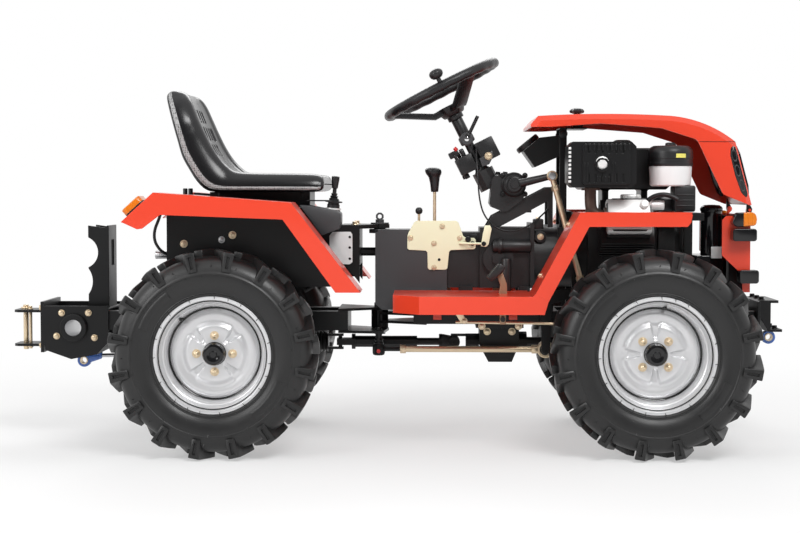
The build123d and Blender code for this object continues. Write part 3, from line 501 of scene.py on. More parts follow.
def tyre_form():
    """A tyre about the Y axis: carcass, lugs, bare pads on the walls and moulding hairs."""
    made = bmesh.new()
    far_wall = [(half, radius) for half, radius in TYRE_WALL[-2::-1]]
    outline = [(-half, radius) for half, radius in TYRE_WALL] + far_wall
    spun(made, outline + outline[:1], ALONG_Y, steps=128)
    lug = lug_form()
    for step in range(LUGS_PER_SIDE):
        turn = math.tau / LUGS_PER_SIDE * step
        join(made, lug, Matrix.Rotation(turn + LUG_TURN, 4, "Y"))
        join(made, lug, Matrix.Rotation(turn + LUG_TURN + math.pi / LUGS_PER_SIDE, 4, "Y")
             @ Matrix.Scale(-1, 4, (0, 1, 0)))
    lug.free()
    for side in (-1, 1):
        for middle in PAD_MIDDLES:
            start = Matrix.Rotation(math.radians(middle - PAD_ARC / 2), 4, "Y") @ ALONG_Y
            spun(made, [(side * half, radius) for half, radius in WALL_PAD], start, steps=16,
                 angle=math.radians(PAD_ARC))
        for count, radius, depth, lean in WALL_HAIRS:
            for step in range(count):
                swing = math.tau * (step + radius % 7 / 7 + 0.3 * math.sin(step * 5)) / count
                turn = Matrix.Rotation(swing, 3, "Y")
                root = turn @ Vector((0, side * (depth - 2), radius)) * MM
                tip = turn @ Vector((2, side * (depth + 4), radius + lean)) * MM
                bar(made, root, tip, 1.4, tip=0.7, sides=5)
    return made


RIM_FACE = [
    # along the axle from the wheel's middle, radius: the face from the hub out to the lip
    (-4, 22), (-4, 34), (-4, 38), (-4, 42), (-4, 46), (-4, 50), (-4, 54), (-4, 58), (-4, 62), (-4, 66),
    (-4, 70), (-4, 74), (-3.6, 78), (-2, 82), (0.5, 86), (3, 90), (4.4, 94), (4.6, 97), (3.4, 102),
    (1.8, 108), (1.2, 114), (2.2, 120), (5, 124.5), (7.5, 127), (8, 129), (8, 133), (5, 134.5), (-6, 136),
    (-16, 137.5), (-24, 139.5), (-29, 142), (-31, 145.5), (-37, 147.5), (-45, 149.5), (-49, 152),
    (-50.5, 155.5), (-56, 156.8), (-59, 158.4), (-60, 161), (-60, 165.4), (-60, 167), (-59, 168.2),
    (-57.5, 168), (-55.5, 164), (-52, 155), (-49, 152.4),
]
RIM_BACK = [
    (49, 152.4), (52, 155), (55.5, 164), (57.5, 168), (59, 168.2), (60, 167), (60, 165.4), (58, 162),
    (52, 150),
    (30, 147), (13, 134), (13, 120), (13, 97), (9, 86), (8, 74), (8, 22),
]


GROOVE_DEPTH, GROOVE_START, GROOVE_END, GROOVE_FACE = 9.5, 40, 100, 4.5


def press_grooves(made):
    """Presses four widening grooves into the raised middle of a rim's face."""
    quarter = math.pi / 2
    for vert in made.verts:
        reach = math.hypot(vert.co.x, vert.co.z) / MM
        if vert.co.y > GROOVE_FACE * MM or not GROOVE_START < reach < GROOVE_END:
            continue
        off = (math.atan2(vert.co.x, vert.co.z) + quarter / 2) % quarter - quarter / 2
        half = 6 + (reach - GROOVE_START) * 0.26
        share = min(max(abs(off) * reach / half - 0.5, 0) / 0.5, 1)
        inner = min((reach - GROOVE_START) / 8, 1)
        outer = min(max((reach - 76) / 20, 0), 1)
        vert.co.y += GROOVE_DEPTH * MM * (1 - share**2 * (3 - 2 * share)) * inner * (1 - outer)


def rim_form():
    """A rim about the Y axis, with its outer face towards -Y."""
    made = bmesh.new()
    spun(made, RIM_FACE + RIM_BACK + RIM_FACE[:1], ALONG_Y, steps=192)
    press_grooves(made)
    spun(made, [(7.5, 21), (7.5, 36), (72, 36), (75, 33), (75, 21), (7.5, 21)], ALONG_Y, steps=40)
    return made


WHEELS = {
    # corner: turn of the rim, turn of the valve from the top
    "front_right": (0, 10),
    "front_left": (0, 10),
    "rear_right": (45, -43),
    "rear_left": (45, -43),
}


def make_wheels():
    tyre, rim = tyre_form(), rim_form()
    for corner, (rim_turn, valve_turn) in WHEELS.items():
        low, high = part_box("tyre_" + corner)
        centre = Matrix.Translation((low + high) / 2)
        side = centre if corner.endswith("right") else centre @ Matrix.Rotation(math.pi, 4, "Z")
        body = "road_wheel_" + corner
        turned = side @ Matrix.Rotation(math.radians(rim_turn), 4, "Y")

        made = bmesh.new()
        join(made, tyre, centre)
        settle(corner + "_tyre", made, RUBBER, body, "tyre", "tyre_" + corner)

        made = bmesh.new()
        join(made, rim, turned)
        settle(corner + "_rim", made, ENAMEL, body, "wheel", "wheel_" + corner)

        made = bmesh.new()
        # A black ring where the disc meets the rim, painted shade for the shadow in the gap at that joint;
        # the valve and hub cap below share its piece and finish.
        spun(made,
             [(8.5, 128.6), (6.4, 129.4), (4.6, 131), (3.6, 133.6), (5, 136), (10, 135), (8.5, 128.6)],
             side @ ALONG_Y, steps=96)
        valve = Matrix.Rotation(math.radians(valve_turn), 4, "Y")
        for start, end, radius in ((6, -20, 5.5), (-20, -33, 4)):
            bar(made, side @ valve @ Vector((0, start * MM, 0.138)),
                side @ valve @ Vector((0, end * MM, 0.137)),
                radius, sides=14, ease=1)
        spun(made, [(-3, 0), (-3, 34), (-6, 34), (-8, 32.5), (-29, 32), (-34, 29.5), (-36, 25), (-35.5, 17),
                    (-33.5, 14), (-33.5, 11), (-36, 9), (-36.5, 0)], side @ ALONG_Y, steps=48)
        settle(corner + "_hub_cap_valve_and_shade_ring", made, GLOSS, body, "plastic")

        made = bmesh.new()
        for step in range(4):
            place = turned @ Matrix.Rotation(math.radians(45 + 90 * step), 4, "Y")
            head = place @ Vector((0, -0.0035, 0.052))
            hex_head(made, head, place.to_3x3() @ Vector((0, -1, 0)), across=17, height=9)
            spun(made, [(8, 8), (11, 7), (13.5, 4), (14, 0)],
                 facing(head, place.to_3x3() @ Vector((0, -1, 0))), 16)
        settle(corner + "_wheel_nuts", made, ZINC, body, "zinc")
    tyre.free()
    rim.free()


# Seat

SEAT_BASE, DECK = 463, 417
SEAT_STATIONS = [
    # under line x and height, upper line x and height, half width: from the cushion's front to the back's top
    (-206, 22, -206, 25, 192), (-208, 10, -207, 38, 206), (-222, 2, -215, 49, 213),
    (-255, 0, -240, 54, 218), (-330, 0, -310, 56, 220), (-430, 0, -400, 57, 220),
    (-520, 0, -468, 61, 220), (-556, 6, -497, 78, 220), (-584, 30, -522, 105, 220),
    (-610, 70, -544, 139, 220), (-629, 106, -561, 172, 220), (-643, 154, -574, 200, 220),
    (-657, 203, -587, 230, 216), (-673, 258, -604, 270, 197), (-680, 285, -620, 293, 174),
    (-675, 298, -640, 303, 160), (-664, 303, -655, 304, 152),
]
SEAT_RING = [
    # share of the half width, share of the way from the under line to the upper line
    (0, 0), (0.45, 0), (0.80, 0), (0.93, 0.01), (0.98, 0.10), (1.0, 0.26), (0.995, 0.44), (0.97, 0.66),
    (0.925, 0.85), (0.87, 0.96), (0.80, 1.0), (0.73, 0.97), (0.65, 0.89), (0.45, 0.83), (0.2, 0.82),
    (0, 0.82), (-0.2, 0.82), (-0.45, 0.83), (-0.65, 0.89), (-0.73, 0.97), (-0.80, 1.0), (-0.87, 0.96),
    (-0.925, 0.85), (-0.97, 0.66), (-0.995, 0.44), (-1.0, 0.26), (-0.98, 0.10), (-0.93, 0.01), (-0.80, 0),
    (-0.45, 0),
]
EDGING_RING = [
    # shares as above, of the perforated strip along each of the seat's edges
    (0.992, 0.11), (1.008, 0.18), (1.008, 0.25), (1.002, 0.29), (0.94, 0.29), (0.94, 0.11),
]
SLOT_ROWS = [
    # lower and upper height over the seat's base, number of slots
    (112, 150, 5), (160, 202, 6), (214, 252, 4),
]
SLOT_PITCH, SLOT_HALF, SLOT_DEPTH = 46, 11, 14


def slot_depth(y, height):
    """How deep the pressed slots of the seat's back are at a place on it."""
    for low, high, count in SLOT_ROWS:
        if not low < height < high:
            continue
        spot = y / SLOT_PITCH + (count - 1) / 2
        if -0.5 < spot < count - 0.5:
            off = abs(spot - round(spot)) * SLOT_PITCH
            ends = min(height - low, high - height) / 7
            return SLOT_DEPTH * max(0.0, min(1.0, (SLOT_HALF - off) / 3, ends))
    return 0.0


def seat_point(row, turn, across=1.0, share=None):
    """A point of the seat's skin, or at given shares across it and up from its under line."""
    under_x, under_z, upper_x, upper_z, half = along(SEAT_STATIONS, row)
    if share is None:
        across, share = along(SEAT_RING, turn, closed=True)
        dish = min(row / 0.14, 1, (1 - row) / 0.10)
        if share > 0.75 and abs(across) < 0.86:
            share = 1 - (1 - share) * max(dish, 0)
    x = under_x + (upper_x - under_x) * share
    z = under_z + (upper_z - under_z) * share
    if share > 0.75 and abs(across) < 0.62 and row > 0.4:
        run = Vector((upper_x - under_x, 0, upper_z - under_z)).normalized()
        depth = slot_depth(across * half, z)
        x, z = x - run.x * depth, z - run.z * depth
    return at(x, across * half, z + SEAT_BASE)


def make_seat():
    made = bmesh.new()
    skinned(made, 190, 240, seat_point)
    seat = settle("seat_bucket", made, VINYL, "rear_half", "vinyl", "seat", crease=math.radians(60))

    made = bmesh.new()
    for side in (-1, 1):
        def edging(row, turn):
            across, share = EDGING_RING[round(turn * len(EDGING_RING)) % len(EDGING_RING)]
            return seat_point(0.11 + 0.82 * row, 0, side * across, share)

        skinned(made, 150, len(EDGING_RING), edging, cap=True)
    settle("seat_edging", made, EDGING, "rear_half", "vinyl")

    made = bmesh.new()
    for side in (-1, 1):
        block(made, (-545, side * 96 - 14, SEAT_BASE - 1), (-262, side * 96 + 14, SEAT_BASE + 5), 2)
        for x in (-530, -280):
            bar(made, at(x, side * 96, 440), at(x, side * 96, SEAT_BASE + 1), 9, sides=16, ease=1)
    for x in (-628, -612):
        bar(made, at(x, -150, DECK - 1), at(x, -150, 474), 7, sides=16, ease=2)
    settle("seat_runners", made, BLACK, "rear_half", "black")


# Steering wheel and column

COLUMN_UP = Vector((-0.452, 0, 0.892)).normalized()
COLUMN = Matrix((
    (0, COLUMN_UP.z, COLUMN_UP.x, 0.145),
    (-1, 0, COLUMN_UP.y, 0),
    (0, -COLUMN_UP.x, COLUMN_UP.z, 0.779 + AXLE_HEIGHT * MM),
    (0, 0, 0, 1),
))
RIM_RADIUS, RIM_TUBE, RIM_SIDES, RIM_GRIPS = 181, 15, 18, 24
SPOKE = [
    # from the axis, along it: the spoke's side outline
    (20, -76), (58, -76), (66, -72), (174, -12), (180, -5), (176, 5), (164, 2), (56, -56), (20, -56),
]
SPOKE_HALF = 24


def make_steering_wheel():
    made = bmesh.new()
    turns = [math.tau * step / RIM_SIDES for step in range(RIM_SIDES)]
    tube = [(RIM_TUBE * math.sin(turn), RIM_RADIUS + RIM_TUBE * math.cos(turn)) for turn in turns]
    spun(made, tube + tube[:1], Matrix(), steps=144)
    for vert in made.verts:
        if vert.co.z < 0.004:
            reach = math.hypot(vert.co.x, vert.co.y)
            grip = 1 + 0.05 * math.cos(RIM_GRIPS * math.atan2(vert.co.y, vert.co.x))
            inward = (vert.co.xy / reach) * (RIM_RADIUS * MM + (reach - RIM_RADIUS * MM) * grip)
            vert.co = (inward.x, inward.y, vert.co.z * grip)
    spoke = bmesh.new()
    face = spoke.faces.new([spoke.verts.new(Vector((x, -SPOKE_HALF, z)) * MM) for x, z in SPOKE])
    grown = bmesh.ops.extrude_face_region(spoke, geom=[face])["geom"]
    bmesh.ops.translate(spoke, vec=(0, 2 * SPOKE_HALF * MM, 0),
                        verts=[g for g in grown if isinstance(g, bmesh.types.BMVert)])
    bmesh.ops.recalc_face_normals(spoke, faces=spoke.faces)
    ease_edges(spoke, 3, math.radians(40))
    for angle in (30, 150, 270):
        join(made, spoke, Matrix.Rotation(math.radians(angle), 4, "Z"))
    spoke.free()
    hub = bmesh.new()
    bmesh.ops.create_cone(hub, cap_ends=True, segments=6, radius1=0.034, radius2=0.052, depth=0.034)
    ease_edges(hub, 4, math.radians(40))
    join(made, hub, Matrix.Translation((0, 0, -0.072)))
    hub.free()
    bar(made, Vector((0, 0, -0.103)), Vector((0, 0, -0.085)), 25, sides=32, ease=2)
    bar(made, Vector((0.182, 0, 0.008)), Vector((0.182, 0, 0.03)), 7, sides=16)
    spun(made, [(25, 0), (25, 11), (27, 15), (33, 20), (40, 21.5), (46, 20), (51, 15), (54, 7), (54.5, 0)],
         Matrix.Translation((0.182, 0, 0)), 32)
    bmesh.ops.transform(made, matrix=COLUMN, verts=made.verts)
    settle("steering_wheel_rim", made, PLASTIC, "steering_wheel_body", "plastic", "steering_wheel",
           crease=math.radians(40))


COLUMN_BOXES = [
    # two corners in the column's own frame, easing of the edges
    ((-25, -23, -186), (25, 23, -158), 5),
    ((-35, 12, -262), (35, 72, -196), 4),
    ((-30, -64, -268), (30, -8, -214), 4),
    ((-34, -72, -206), (8, -40, -186), 3),
]
COLUMN_PLUGS = [
    # place across and forwards of the axis, ends along it, radius
    (-24, -30, -214, -190, 7), (-6, -44, -214, -196, 6), (14, -30, -214, -194, 7), (22, -56, -214, -200, 5),
    (-20, -58, -280, -268, 6), (4, -50, -282, -268, 8),
]


def on_column(x, y, along_mm):
    """A point of the column's own frame: across the tractor, forwards of the axis, along it."""
    return COLUMN @ Vector((x * MM, y * MM, along_mm * MM))


def make_column():
    made = bmesh.new()
    bar(made, on_column(0, 0, -182), on_column(0, 0, -103.3), 18, sides=32, ease=1.5)
    bar(made, on_column(0, 0, -282), on_column(0, 0, -176), 14, sides=28)
    bar(made, on_column(0, 0, -284), on_column(0, 0, -266), 24, tip=18, sides=32, ease=1.5)
    for (x, y, z), (far_x, far_y, far_z), ease in COLUMN_BOXES:
        block(made, (x, y, z - AXLE_HEIGHT), (far_x, far_y, far_z - AXLE_HEIGHT), ease, COLUMN)
    for x, y, low, high, radius in COLUMN_PLUGS:
        bar(made, on_column(x, y, low), on_column(x, y, high), radius, sides=16, ease=1.5)
    bar(made, on_column(30, 0, -172), on_column(30, 62, -124), 5.5, sides=16, ease=2)
    bar(made, on_column(28, 6, -166), on_column(36, 6, -166), 8, sides=16, ease=1)
    settle("column_and_switches", made, PLASTIC, "front_half", "black", "steering_column")

    made = bmesh.new()
    spun(made, [(24, 0), (24, 21), (31, 21), (34, 17), (34, 0)],
         facing(on_column(0, 0, -172), (0, -1, 0)), 40)
    slab(made, [(262, 566), (300, 590), (306, 576), (292, 548), (270, 540)], (-40, -34), 1.5)
    settle("tilt_joint", made, GREY, "front_half", "grey")

    made = bmesh.new()
    spun(made, [(33, 8), (36, 7), (38, 0)], facing(on_column(0, 0, -172), (0, -1, 0)), 24)
    for x in (-3.5, 3.5):
        bar(made, on_column(15, x, -160), on_column(15, x, -108), 1.4, sides=10)
    settle("column_bright_work", made, CHROME, "front_half", "steel")

    made = bmesh.new()
    hex_head(made, at(289, -40, 573), (0, -1, 0), across=16, height=7)
    settle("column_bracket_bolt", made, ZINC, "front_half", "zinc")

    made = bmesh.new()
    bar(made, on_column(6, -42, -190), on_column(6, -46, -178), 6, sides=16, ease=1.5)
    settle("stop_button", made, MARK, "front_half", "red")


# The steering linkage: pivots in (x, z), the planes of its levers and drag link, the tie rod's line and ends
GEAR_SHAFT, PITMAN_END, CRANK_END = (365, 485), (476, 511), (572, 166)
LEVER_Y, LINK_Y = -130, -150
TIE_ROD_Y, TIE_ROD_Z, TIE_ROD_EYE_X, TIE_ROD_BALL_X = -110, -15, 461, -46


def make_steering_gear():
    dress("steering_gear", 3.0, CASTING, ROUND_ANGLE)
    made = bmesh.new()
    gear_x, gear_z = GEAR_SHAFT
    shaft = facing(at(gear_x, -80, gear_z), (0, -1, 0))
    spun(made,
         [(0, 0), (0, 38), (6, 38), (9, 34), (9, 26), (14, 26), (16, 23), (16, 15), (12, 13), (12, 0)],
         shaft, 40)
    for step in range(4):
        turn = math.radians(45 + 90 * step)
        spot = at(gear_x + 48 * math.cos(turn), -80, gear_z + 40 * math.sin(turn))
        hex_head(made, spot, (0, -1, 0), 11, 6)
    bar(made, on_column(0, 0, -290), on_column(0, 0, -276), 24, sides=32, ease=2)
    for x in (318, 340):
        hex_head(made, at(x, -40, 515), (0.1, 0, 1), 13, 8)
    bar(made, at(gear_x, -92, gear_z), at(gear_x, -120, gear_z), 17, sides=24, ease=1)
    settle("gear_cover_and_bolts", made, BLACK, "front_half", "black")


# Controls

GATE_BOLTS = [(147, 358), (50, 323), (122, 306), (201, 322), (122, 232)]


def make_shift_gate():
    dress("shift_plate", 1.0, PALE_ZINC)
    made = bmesh.new()
    for x, z in GATE_BOLTS:
        hex_head(made, at(x, -74, z), (0, -1, 0), 11, 5)
    settle("shift_plate_bolts", made, ZINC, "front_half", "zinc")

    made = bmesh.new()
    spun(made, [(0, 0), (0, 4.5), (1, 4.5), (1, 0)], facing(at(138, -73.6, 256), (0, -1, 0)), 16)
    slab(made, [(214, 330), (252, 336), (262, 300), (244, 292), (216, 300)], (-69, -60), 2)
    for x, y, z, radius in ((226, -84, 318, 9), (240, -84, 306, 7), (273, -116, 306, 7),
                            (284, -104, 352, 6)):
        bar(made, at(x, y, z), at(x, -60, z), radius, sides=20, ease=1.5)
    settle("shift_plate_hole_and_clevis", made, BLACK, "front_half", "black")

    made = bmesh.new()
    bar(made, at(124, -40, 348), at(124, -40, 470), 5, sides=20)
    bar(made, at(76, -40, 348), at(76, -40, 400), 4, sides=16)
    settle("gear_lever_rods", made, ZINC, "front_half", "zinc", "shift_levers")

    made = bmesh.new()
    slab(made, [(264, 298), (270, 336), (276, 362), (292, 362), (297, 352), (288, 304), (280, 296)],
         (-112, -108), 1.5)
    bar(made, at(200, -76, 306), at(268, -110, 306), 3.5, sides=14)
    settle("shift_link", made, PALE_ZINC, "front_half", "zinc")

    made = bmesh.new()
    knob = facing(at(124, -40, 463), (0, 0, 1))
    spun(made,
         [(0, 0), (0, 10), (2, 11.5), (26, 14), (44, 17), (50, 20), (55, 23.5), (62, 25.5), (68, 24.5),
          (72, 20), (74.5, 12), (75, 0)],
         knob, 40)
    for vert in made.verts:
        if vert.co.z > 0.80:
            vert.co.x -= (vert.co.z - 0.80) * 0.16
    spun(made, [(0, 0), (0, 6), (4, 10), (10, 11.5), (16, 10), (20, 6), (21, 0)],
         facing(at(76, -40, 395), (0, 0, 1)), 28)
    settle("gear_lever_knobs", made, PLASTIC, "front_half", "plastic")


def make_lift_control():
    made = bmesh.new()
    slab(made, [(-281, DECK + 8), (-252, DECK + 6), (-166, DECK - 9), (-156, DECK - 18), (-156, DECK - 51),
                (-163, DECK - 65), (-215, DECK - 84)], (-200, -106), 4)
    settle("lift_console", made, GREY, "rear_half", "grey", "lift_control")

    made = bmesh.new()
    stick = facing(at(-182, -156, DECK - 14), (0.08, 0, 1))
    spun(made,
         [(0, 0), (0, 21), (10, 21), (12, 19), (22, 19), (24, 17), (28, 17), (29, 26), (33, 26), (34, 14),
          (40, 15), (43, 10), (47, 13), (50, 8), (55, 10), (58, 6), (70, 6), (72, 9), (98, 12), (106, 12),
          (108, 9), (108, 0)], stick, 36)
    slab(made, [(-260, DECK + 18), (-166, DECK + 18), (-162, DECK + 22), (-260, DECK + 22)],
         (-172, -138), 1)
    settle("lift_stick", made, PLASTIC, "rear_half", "plastic")

    made = bmesh.new()
    spun(made, [(7, 21.5), (7, 23.5), (12, 23.5), (12, 21.5), (7, 21.5)], stick, 36)
    settle("lift_stick_collar", made, ALLOY, "rear_half", "alloy")


# The brake rod's line in (x, z), from its hanger under the floor to the front axle
BRAKE_ROD = [(186, 78), (327, 76), (468, 74), (560, 68), (640, 50), (700, 32), (732, 20)]


def make_pedals():
    made = bmesh.new()
    for side in (-1, 1):
        slab(made,
             [(316, 72), (334, 72), (338, 165), (337, 192), (324, 226), (306, 218), (317, 190), (314, 165)],
             pair(side, 241, 251), 2)
    settle("pedal_levers", made, BRONZE, "front_half", "steel", "pedals")
    made = bmesh.new()
    for side in (-1, 1):
        y = pair(side, 220, 272)
        slab(made, [(277, 212), (290, 201), (297, 203), (330, 236), (331, 243), (318, 253), (311, 252)],
             y, 3)
        for step in range(4):
            along_pad = Vector((282, 0, 216)).lerp(Vector((309, 0, 246)), step / 3)
            bar(made, at(along_pad.x, y[0] + 4, along_pad.z), at(along_pad.x, y[1] - 4, along_pad.z), 2.6,
                sides=10)
        bar(made, at(325, side * 104, 88), at(325, side * 262, 88), 8, sides=20)
    settle("pedal_pads", made, RUBBER, "front_half", "plastic")

    made = bmesh.new()
    for side in (-1, 1):
        bent_bar(made, [(x, side * 239, z) for x, z in BRAKE_ROD], 4, rows=60, sides=14)
        hex_head(made, at(212, side * 244, 82), (0, side, 0), 12, 6)
    settle("brake_rods", made, ZINC, "front_half", "zinc")


# Linkage under the floor


def make_linkage():
    made = bmesh.new()
    (pitman_x, pitman_z), (crank_x, crank_z), (gear_x, gear_z) = PITMAN_END, CRANK_END, GEAR_SHAFT
    top, foot = at(pitman_x, LINK_Y, pitman_z), at(crank_x, LINK_Y, crank_z)
    run = (foot - top).normalized()
    bar(made, top + run * 0.013, foot - run * 0.013, 9, sides=24)
    for end, sign in ((top, 1), (foot, -1)):
        hex_nut(made, end + run * sign * 0.038, run, 12.5, 16, 1)
    for end in (top, foot):
        spun(made, [(-11, 8.4), (-11, 14), (-9, 16), (8, 16), (10, 14), (10, 8.4), (-11, 8.4)],
             facing(end, (0, 1, 0)), 36)
    settle("drag_link_rod", made, ZINC, "drag_link_body", "zinc", "drag_link")

    made = bmesh.new()
    for (x, z), bore, reach in ((GEAR_SHAFT, 12.4, 20), (PITMAN_END, 0, 14)):
        spun(made, [(-5, bore), (-5, reach), (5, reach), (5, bore)],
             facing(at(x, LEVER_Y, z), (0, 1, 0)), 36)
    arm = at(gear_x, LEVER_Y, gear_z)
    reach = at(pitman_x, LEVER_Y, pitman_z) - arm
    bar(made, arm + reach * 0.14, arm + reach * 0.9, 13, tip=10, sides=24)
    bar(made, at(pitman_x, -135, pitman_z), at(pitman_x, -163, pitman_z), 8, sides=24, ease=1)
    settle("pitman_lever", made, CASTING, "pitman_arm_body", "cast", "pitman_arm")

    made = bmesh.new()
    spun(made, [(0, 0), (0, 12), (4, 12), (6, 10), (7, 0)],
         facing(at(pitman_x, -161.5, pitman_z), (0, -1, 0)), 28)
    settle("pitman_ball_cap", made, STEEL, "pitman_arm_body", "steel")

    dress("bell_crank", 1.5, BLACK, ROUND_ANGLE)

    made = bmesh.new()
    bar(made, at(26, TIE_ROD_Y, TIE_ROD_Z), at(434, TIE_ROD_Y, TIE_ROD_Z), 9.5, sides=28, ease=1)
    for x in (28, 428):
        hex_nut(made, at(x, TIE_ROD_Y, TIE_ROD_Z), (1, 0, 0), 13.5, 18, 1.2)
    spun(made, [(-11, 18), (-11, 24), (-9, 26), (9, 26), (11, 24), (11, 18), (-11, 18)],
         facing(at(TIE_ROD_EYE_X, TIE_ROD_Y, TIE_ROD_Z), (0, 1, 0)), 40)
    settle("tie_rod_tube", made, ZINC, "tie_rod_body", "zinc", "tie_rod")

    made = bmesh.new()
    ball = facing(at(TIE_ROD_BALL_X, TIE_ROD_Y, -32), (0, 0, 1))
    spun(made,
         [(-3, 0), (-2, 12), (0, 17), (6, 19), (22, 19), (28, 18), (32, 14), (36, 16), (40, 12), (45, 14),
          (50, 10), (60, 10), (64.7, 11), (64.7, 7), (73.5, 7), (73.5, 10), (80, 10), (83, 8), (83, 0)],
         ball, 36)
    bar(made, at(TIE_ROD_BALL_X + 12, TIE_ROD_Y, TIE_ROD_Z), at(22, TIE_ROD_Y, TIE_ROD_Z), 7, sides=20)
    settle("tie_rod_ball_joint", made, BLACK, "tie_rod_body", "black")

    made = bmesh.new()
    spun(made, [(-19.3, 0), (-19.3, 6), (-18.6, 6), (-18.6, 0)],
         facing(at(TIE_ROD_BALL_X, TIE_ROD_Y, -20), (0, 1, 0)), 16)
    settle("ball_joint_paint_mark", made, MARK, "tie_rod_body", "red")


SHAFT_Z, FRONT_JOINT_X = -2, 185


def make_shafts():
    for node in ("prop_front", "prop_rear", "transfer_case", "front_axle", "rear_axle"):
        dress(node, 1.5, BLACK, ROUND_ANGLE)
    made = bmesh.new()
    folds = [(-258 + 5 * step, 27 if step % 2 else 33) for step in range(11)]
    spun(made, [(folds[0][0], 24)] + folds + [(folds[-1][0], 24), (folds[0][0], 24)],
         facing(at(0, 0, SHAFT_Z), (1, 0, 0)), 40)
    settle("shaft_boot", made, RUBBER, "rear_half", "plastic")

    made = bmesh.new()
    for side in (-1, 1):
        spun(made, [(16.5, 0), (16.5, 16), (18, 18), (23, 18), (25, 16), (25, 7), (23.5, 6), (23.5, 0)],
             facing(at(FRONT_JOINT_X, 0, SHAFT_Z), (0, side, 0)), 36)
        slab(made, [(146, -20), (152, -23), (188, -16), (188, 12), (152, 19), (146, 16)],
             pair(side, 17.2, 23.4), 2)
    bar(made, at(138, 0, SHAFT_Z), at(152, 0, SHAFT_Z), 15, tip=24, sides=32, ease=1)
    settle("joint_fork", made, BLACK, NODE_BODY["prop_front"], "black")

    made = bmesh.new()
    for x, y, z in ((286, -55, 34), (362, -55, 34), (268, -105, 55), (380, -105, 55)):
        hex_head(made, at(x, y, z), (0, -1, 0), 15, 8)
    settle("transfer_case_bolts", made, ZINC, "front_half", "zinc")


# Hood, lamps and engine

HOOD_BROW, HOOD_FOOT = Vector((1016, 0, 612)), Vector((1065.4, 0, 426))
HOOD_HALF = 205
HOOD_KNOB_X = 563
CORNER_LAMP = [
    # run down the hood's front edge, depth behind it
    (14, 22), (10, 14), (14, 7), (40, 6), (156, 6), (166, 9), (166, 15), (150, 24), (96, 29), (36, 28),
]


def make_hood():
    made = copy_of_solid("hood")
    knob_x = HOOD_KNOB_X * MM
    knob = [v for v in made.verts if v.co.z > 0.9975 and abs(v.co.y) < 0.03 and abs(v.co.x - knob_x) < 0.03]
    bmesh.ops.delete(made, geom=knob, context="VERTS")
    bmesh.ops.holes_fill(made, edges=[e for e in made.edges if e.is_boundary], sides=0)
    ease_edges(made, 1.0, math.radians(35))
    for face in made.faces:
        if face.calc_center_median().z < at(0, 0, 443).z and abs(face.calc_center_median().y) < 0.17:
            face.material_index = 1
    settle("hood_shell", made, [RED, BLACK], "hood_assembly", "red", "hood", flat=True)

    made = bmesh.new()
    spun(made, [(0, 0), (0, 10), (9, 9), (11, 14), (13, 20), (19, 21), (24, 17), (27, 8), (27.5, 0)],
         Matrix.Translation(at(HOOD_KNOB_X, 0, 694)), 72)
    for vert in made.verts:
        if vert.co.z > at(0, 0, 704).z:
            off = vert.co.xy - Vector((knob_x, 0))
            lobe = 1 + 0.10 * math.cos(6 * math.atan2(off.y, off.x))
            vert.co.x, vert.co.y = knob_x + off.x * lobe, off.y * lobe
    settle("hood_knob", made, PLASTIC, "hood_assembly", "plastic")

    slope = (HOOD_FOOT - HOOD_BROW).normalized()
    outward = Vector((-slope.z, 0, slope.x))
    frames, lenses, seams = bmesh.new(), bmesh.new(), bmesh.new()
    for side in (-1, 1):
        look = Vector((0, side, 0))
        place = Matrix((slope.cross(look), slope, look)).transposed().to_4x4()
        edge = [HOOD_BROW + slope * run - outward * depth for run, depth in CORNER_LAMP]
        slab(frames, [(point.x, point.z) for point in edge], pair(side, 188, HOOD_HALF + 2), 2.5)
        for run, depth in ((38, 17), (84, 18), (130, 16)):
            middle = HOOD_BROW + slope * run - outward * depth
            spot = Matrix.Translation(at(middle.x, side * (HOOD_HALF + 1.6), middle.z))
            lens = spot @ place @ Matrix.Diagonal((0.55, 1.4, 1, 1))
            spun(lenses, [(0, 13.5), (1.4, 13.5), (1.4, 11), (-1.5, 8), (-1.5, 0)], lens, 28)
        seam_y = side * (HOOD_HALF + 0.3)
        block(seams, (906, seam_y - 0.5, 611), (1012, seam_y + 0.5, 612.4), 0)
    settle("hood_corner_lamps", frames, GLOSS, "hood_assembly", "gloss")
    settle("hood_corner_lenses", lenses, GREY, "hood_assembly", "gloss")
    settle("hood_seams", seams, BLACK, "hood_assembly", "black")
    dress("hood_grille", 2.0, GLOSS)


# A point of the tail lamps' seat, the lean of their faces and the depth of their black housings
TAIL_SEAT, TAIL_LEAN, TAIL_HOUSING = Vector((-770, 0, 378)), Vector((-0.674, 0, 0.738)), 8
# The amber lenses of the front lamps lie ahead of this X and above this Z
SIGNAL_X, SIGNAL_FOOT = 1033, 357


def make_lamps():
    dress("front_lamps", 3.0, GLOSS, paint=[(AMBER, lambda x, y, z: x > SIGNAL_X and z > SIGNAL_FOOT)],
          splits=[((SIGNAL_X, 0, 0), (1, 0, 0))])
    dress("tail_lamps", 3.0, PLASTIC,
          paint=[(AMBER, lambda x, y, z: (Vector((x, 0, z)) - TAIL_SEAT).dot(TAIL_LEAN) > TAIL_HOUSING)],
          splits=[(TAIL_SEAT + TAIL_HOUSING * TAIL_LEAN, TAIL_LEAN)])
    made = bmesh.new()
    for side in (-1, 1):
        for x in (1036, 1048, 1060):
            bar(made, at(x, side * 238, 366), at(x, side * 238, 400), 3.2, sides=12)
    settle("turn_signal_ribs", made, AMBER, "front_half", "amber")


LEAN = math.radians(25)
CYLINDER = Matrix((
    (1, 0, 0, 0.695),
    (0, math.sin(LEAN), -math.cos(LEAN), -0.070),
    (0, math.cos(LEAN), math.sin(LEAN), 0.310 + AXLE_HEIGHT * MM),
    (0, 0, 0, 1),
))


